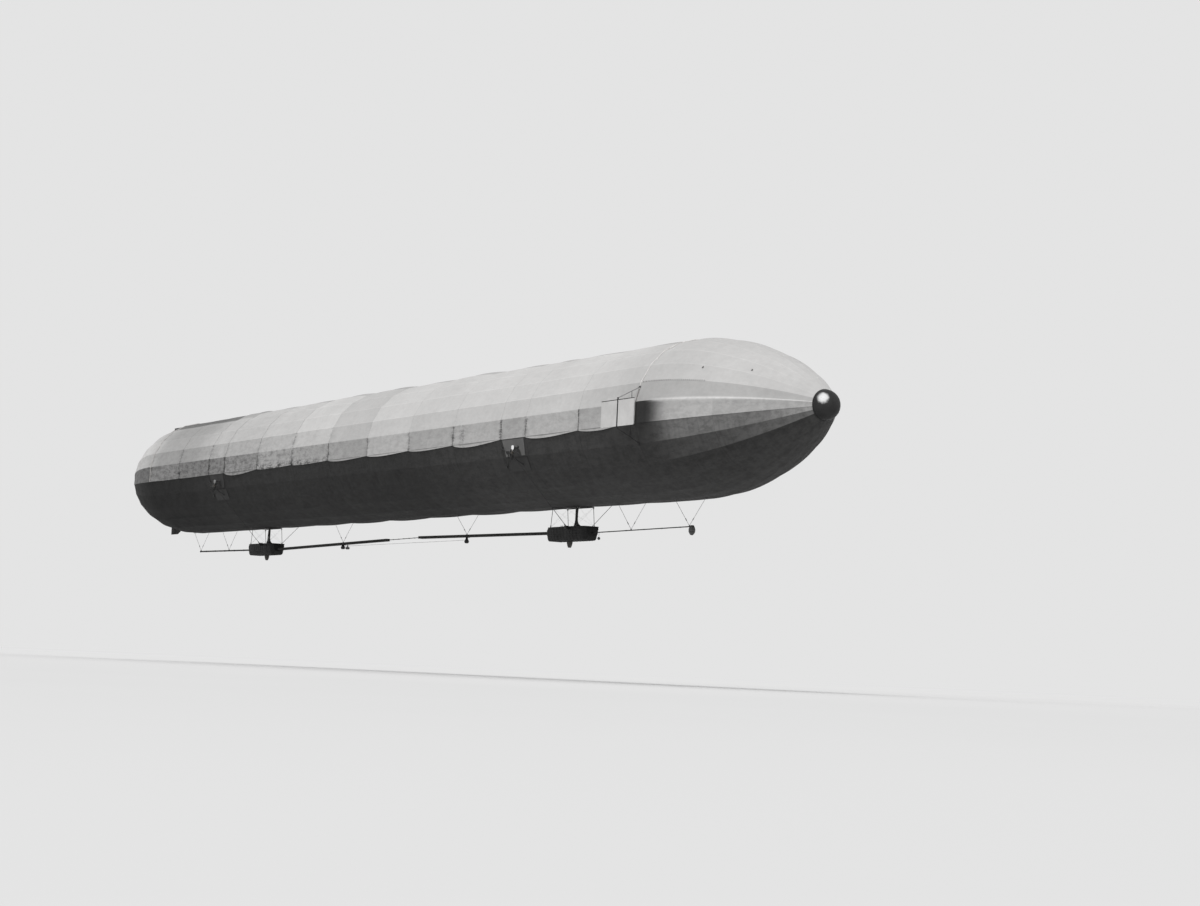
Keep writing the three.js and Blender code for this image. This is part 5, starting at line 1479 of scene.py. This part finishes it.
# Booms.
# A stout spar reaches forward from the fore gondola and a thin one aft from the aft one, held under the keel
# by two pairs of stays each. A lead bob hangs from the thin one's end, and a float ball sits at its root.
BOOMS = {"bow_boom": ((3.3123, -0.791), (4.72, -0.779), 0.0075, (3.95, 4.71)),
         "stern_boom": ((-3.3123, -0.79), (-4.696, -0.781), 0.004, (-3.88, -4.685))}
FERRULE_PITCH = 0.25
BALL_RADIUS, BALL_BACK, BALL_Z = 0.0115, 0.1, -0.837
for name, (root, tip, radius, stays_x) in BOOMS.items():
    length = abs(tip[0] - root[0])
    profile = [(0, 0.85 * radius), (0.0006, 1.25 * radius), (0.05, 1.25 * radius), (0.051, radius)]
    for joint in np.arange(FERRULE_PITCH, length - 0.1, FERRULE_PITCH):
        profile += [(joint - 0.009, radius), (joint - 0.0085, 1.14 * radius), (joint + 0.0085, 1.14 * radius),
                    (joint + 0.009, radius)]
    profile += [(-0.011, radius), (-0.0105, 1.2 * radius), (-0.001, 1.2 * radius), (-0.0002, 0.7 * radius)]
    spar = along_line((root[0], 0, root[1]), (tip[0], 0, tip[1]), profile, 18)
    feet, stays = [], []
    for x in stays_x:
        z = float(height_on(root, tip, x)) + radius
        feet.append(copies(shackle, set_at((x, 0, z))))
        stays += pair_of_stays(x, z)
        pads.append(stay_pads(x))
    layers = [(frame_tube, spar), (frame_iron, together(*feet)), (wire_rope, together(*stays))]
    if root[0] < 0:
        swing = np.linspace(-1.5, 1.5, 13)
        ball = turned(BALL_RADIUS * np.stack([np.cos(swing), np.sin(swing)], -1),
                      (root[0] - BALL_BACK, 0, BALL_Z), around=28)
        arm = tube([(root[0] - BALL_BACK, 0, z) for z in (-0.826, -0.808, -0.79)], 0.0014, 8)
        layers.append((cast_lead, together(ball, arm)))
    piece(f"{name}_spar", layers, "framing", name)
piece("stay_head_pads", [(frame_iron, copies(head_pad, np.concatenate(pads)))], "framing")

low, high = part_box("boom_weight")
drop = np.linspace(0, 1, 22)
pear = 0.025 * np.sin(np.pi * (0.06 + 0.8 * drop**0.85)) ** 0.8
bob_at = (middle_x("boom_weight"), 0, 0)
body_of_bob = turned(np.stack([pear, low.z + (high.z - low.z) * drop], -1), bob_at, around=32)
bands = [turned([(r - 0.001, z - 0.0012), (r + 0.0006, z - 0.001), (r + 0.0006, z + 0.001),
                 (r - 0.001, z + 0.0012)], bob_at, around=32)
         for r, z in ((0.0244, low.z + 0.024), (0.0246, low.z + 0.043))]
piece("stern_bob", [(cast_lead, body_of_bob), (frame_iron, together(*bands))], "lead", "boom_weight")

# Stern rudders.
# On each side a post carries two cloth panels laced over pale tube frames, with battens and a dark spar. Two
# arms and a strut from the hull hold its bearings, painted pale over the pale cloth, dark over the dark.
POST_X, POST_Y, POST_RADIUS, PANEL_GAP, PANEL_LENGTH = -4.8, 0.73, 0.005, 0.01, 0.21
PANEL_LOW, PANEL_HIGH, PANEL_HALF, BATTENS = -0.114, 0.078, 0.0019, 6
RUDDER_FEET, SPINE_Y, SPINE_RADIUS = ((0.09, 1.25 * FACET), (-0.126, -1.5 * FACET)), 0.615, 0.003
SPAR_HALF, EDGE_RADIUS, RINGS = 0.221, 0.0023, 22


def cloth_panel(x_from, x_to, low, high, y, battens):
    """A cloth envelope over battens: a closed ring of X and Y at each height, whose half thickness falls by a
    rounded dip between each two battens, more at mid height."""
    along = np.linspace(0, 1, 8 * battens + 1)
    up = np.linspace(0, 1, 13)
    dip = (0.0011 * np.abs(np.sin(np.pi * battens * along)) ** 0.7
           * np.sin(np.pi * np.clip(up, 0.03, 0.97))[:, None] ** 0.4)
    half = PANEL_HALF - dip
    x = np.broadcast_to(x_from + (x_to - x_from) * along, half.shape)
    z = np.broadcast_to((low + (high - low) * up)[:, None], half.shape)
    outer, inner = np.stack([x, y + half, z], -1), np.stack([x, y - half, z], -1)
    return loft(np.concatenate([outer, inner[:, ::-1]], axis=1))


rudder_cotton = taut_cloth("rudder_cotton", grey(0.52, 0.01))
pale_tube = worn_metal("pale_alloy_tube", grey(0.5), grey(0.6), chips=0.1, rough=0.45, metallic=0.35)
bracket_alloy = worn_metal("bracket_alloy", grey(0.034), grey(0.1), chips=0.06, rough=0.6, metallic=0.1,
                           gloss=0.15)
pale_arm_paint = worn_metal("pale_arm_paint", grey(0.22), grey(0.3), chips=0.06, rough=0.6, metallic=0.1,
                            gloss=0.15)
post = rod((POST_X, POST_Y, -0.1227), (POST_X, POST_Y, 0.0867), POST_RADIUS, 16)
spar = rod((POST_X - SPAR_HALF, POST_Y, PANEL_HIGH - 0.002), (POST_X + SPAR_HALF, POST_Y, PANEL_HIGH - 0.002),
           0.0033, 10)
sheets, edges, laces, straps = [], [], [], []
for way in (-1, 1):
    near, far = POST_X + way * PANEL_GAP, POST_X + way * (PANEL_GAP + PANEL_LENGTH)
    sheets.append(cloth_panel(near, far, PANEL_LOW, PANEL_HIGH - 0.003, POST_Y, BATTENS))
    frame_path = [(near, POST_Y, PANEL_HIGH - 0.004), (near, POST_Y, PANEL_LOW), (far, POST_Y, PANEL_LOW),
                  (far, POST_Y, PANEL_HIGH - 0.004)]
    edges += [rod(a, b, EDGE_RADIUS, 10) for a, b in zip(frame_path[:-1], frame_path[1:])]
    for x in np.linspace(near + way * 0.006, far - way * 0.006, RINGS):
        laces += [(x, POST_Y, PANEL_LOW + 0.001), (x, POST_Y, PANEL_HIGH - 0.0045)]
    for z in (PANEL_LOW + 0.02, 0, PANEL_HIGH - 0.03):
        straps.append(rod((POST_X, POST_Y, z), (near, POST_Y, z), 0.0018, 8))
ring = turned([(0.0026, -0.0007), (0.0031, 0), (0.0026, 0.0007)], axis=0, around=10)
pale_layers = [(rudder_cotton, together(*sheets)), (pale_hemp, copies(ring, set_at(laces)))]
dark_layers = [(frame_tube, together(post, spar)), (pale_tube, together(*edges, *straps))]

arms, bracket_feet, spine = [], [], []
for z, angle in RUDDER_FEET:
    reach = HULL_FLAT - 0.001
    foot = (POST_X, reach * math.cos(angle), reach * math.sin(angle))
    head = (POST_X, POST_Y, z)
    arms.append(along_line(head, foot, [(0.004, 0.003), (-0.016, 0.003), (-0.0155, 0.0042),
                                        (-0.0004, 0.0042)], 12))
    arms.append(turned([(0.0055, z - 0.003), (0.007, z - 0.0025), (0.007, z + 0.0025), (0.0055, z + 0.003)],
                       (POST_X, POST_Y, 0), around=24))
    bracket_feet.append(on_hull(POST_X + 0.001, angle, 0.0004))
    spine.append((POST_X, SPINE_Y, float(height_on((POST_Y, z), foot[1:], SPINE_Y))))
waist = (POST_X, SPINE_Y, 0)
arms.append(rod(waist, spine[1], SPINE_RADIUS, 12))
upper_arm = together(arms[0], rod(spine[0], waist, SPINE_RADIUS, 12))
bracket = [(pale_arm_paint, upper_arm),
           (bracket_alloy, together(*arms[1:], copies(hull_foot, np.concatenate(bracket_feet))))]
for side, turn in SIDES:
    piece(f"{side}_stern_rudder_panels", each(pale_layers + dark_layers, turn), "rudder_cloth",
          f"stern_rudder_{side}", body=f"{side}_stern_rudder")
    piece(f"{side}_stern_rudder_arms", each(bracket, turn), "framing", f"stern_rudder_bracket_{side}")

# Bow rudders.
# One blade stands over the bow and one hangs under it, each of doped cotton laced on a tube frame about a
# post that turns in a flanged iron seat. The upper one's front half is dark, and all of the lower one is dark
# as painted shade.
BOW_RUDDERS = {"upper": (1, 5.54, 0.49, 0.59), "lower": (-1, 5.46, 0.48, 0.575)}
RUDDER_REACH, CORNER_BACK, CORNER_DROP, TRAILING_DROP, FACE_SHARE = 0.13, 0.06, 0.027, 0.042, 0.976


def blade_panel(outline):
    """A flat cloth envelope on an outline in X and Z, drawn in a little at both faces' edges."""
    outline = np.asarray(outline, float)
    middle = outline.mean(axis=0)
    rings = []
    for y, share in ((-PANEL_HALF, FACE_SHARE), (-0.5 * PANEL_HALF, 1), (0.5 * PANEL_HALF, 1),
                     (PANEL_HALF, FACE_SHARE)):
        place = middle + (outline - middle) * share
        rings.append(np.stack([place[:, 0], 0 * place[:, 0] + y, place[:, 1]], -1))
    return loft(rings)


# Dark cloth for the upper blade's front half, and for all of the lower blade as painted shade
dark_rudder_cotton = taut_cloth("dark_rudder_cotton", grey(0.022, 0.01))
for name, (way, post_x, foot_z, tip_z) in BOW_RUDDERS.items():
    rear_foot = tip_z - TRAILING_DROP
    span = (foot_z + rear_foot) / 2
    front = [(post_x + RUDDER_REACH, foot_z), (post_x + RUDDER_REACH, tip_z), (post_x, tip_z), (post_x, span)]
    rear = [(post_x, span), (post_x, tip_z), (post_x - CORNER_BACK, tip_z),
            (post_x - RUDDER_REACH, tip_z - CORNER_DROP), (post_x - RUDDER_REACH, rear_foot)]
    whole = front[:3] + rear[2:]
    corners = [(x, 0, z) for x, z in whole]
    edges = [rod(a, b, 0.0021, 10) for a, b in zip(corners, corners[1:] + corners[:1])]
    battens = []
    for x in np.linspace(post_x - 0.09, post_x + 0.1, 6):
        foot = float(height_on((post_x + RUDDER_REACH, foot_z), (post_x - RUDDER_REACH, rear_foot), x))
        top = tip_z if x > post_x - CORNER_BACK else float(height_on(rear[2], rear[3], x))
        battens += [rod((x, side * 0.0016, foot), (x, side * 0.0016, top), 0.0009, 8) for side in (-1, 1)]
    seat_top = hull_radius(post_x) + 0.003
    post = rod((post_x, 0, seat_top + 0.0003), (post_x, 0, tip_z), 0.0045, 16)
    seat = turned([(0.016, seat_top - 0.0075), (0.0155, seat_top - 0.005), (0.0105, seat_top - 0.004),
                   (0.01, seat_top - 0.0005), (0.0085, seat_top)], (post_x, 0, 0), around=28)
    bolts = copies(bead_ring(0.001, 0.0132, 6, seat_top - 0.0049), set_at((post_x, 0, 0)))
    # The lower blade's rear half is dark too, as painted shade
    rear_cloth = rudder_cotton if name == "upper" else dark_rudder_cotton
    layers = [(dark_rudder_cotton, together(blade_panel(front), *battens[-6:])),
              (rear_cloth, together(blade_panel(rear), *battens[:-6])), (frame_tube, together(*edges, post))]
    flip = as_made if way > 0 else (lambda form: mirrored(form, axis=2))
    piece(f"{name}_bow_rudder_blade", each(layers, flip), "rudder_cloth", f"bow_rudder_{name}",
          body=f"{name}_bow_rudder")
    piece(f"{name}_bow_rudder_socket", [(frame_iron, flip(together(seat, bolts)))], "framing",
          f"bow_rudder_seat_{name}")

low, high = cad_box
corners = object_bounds()
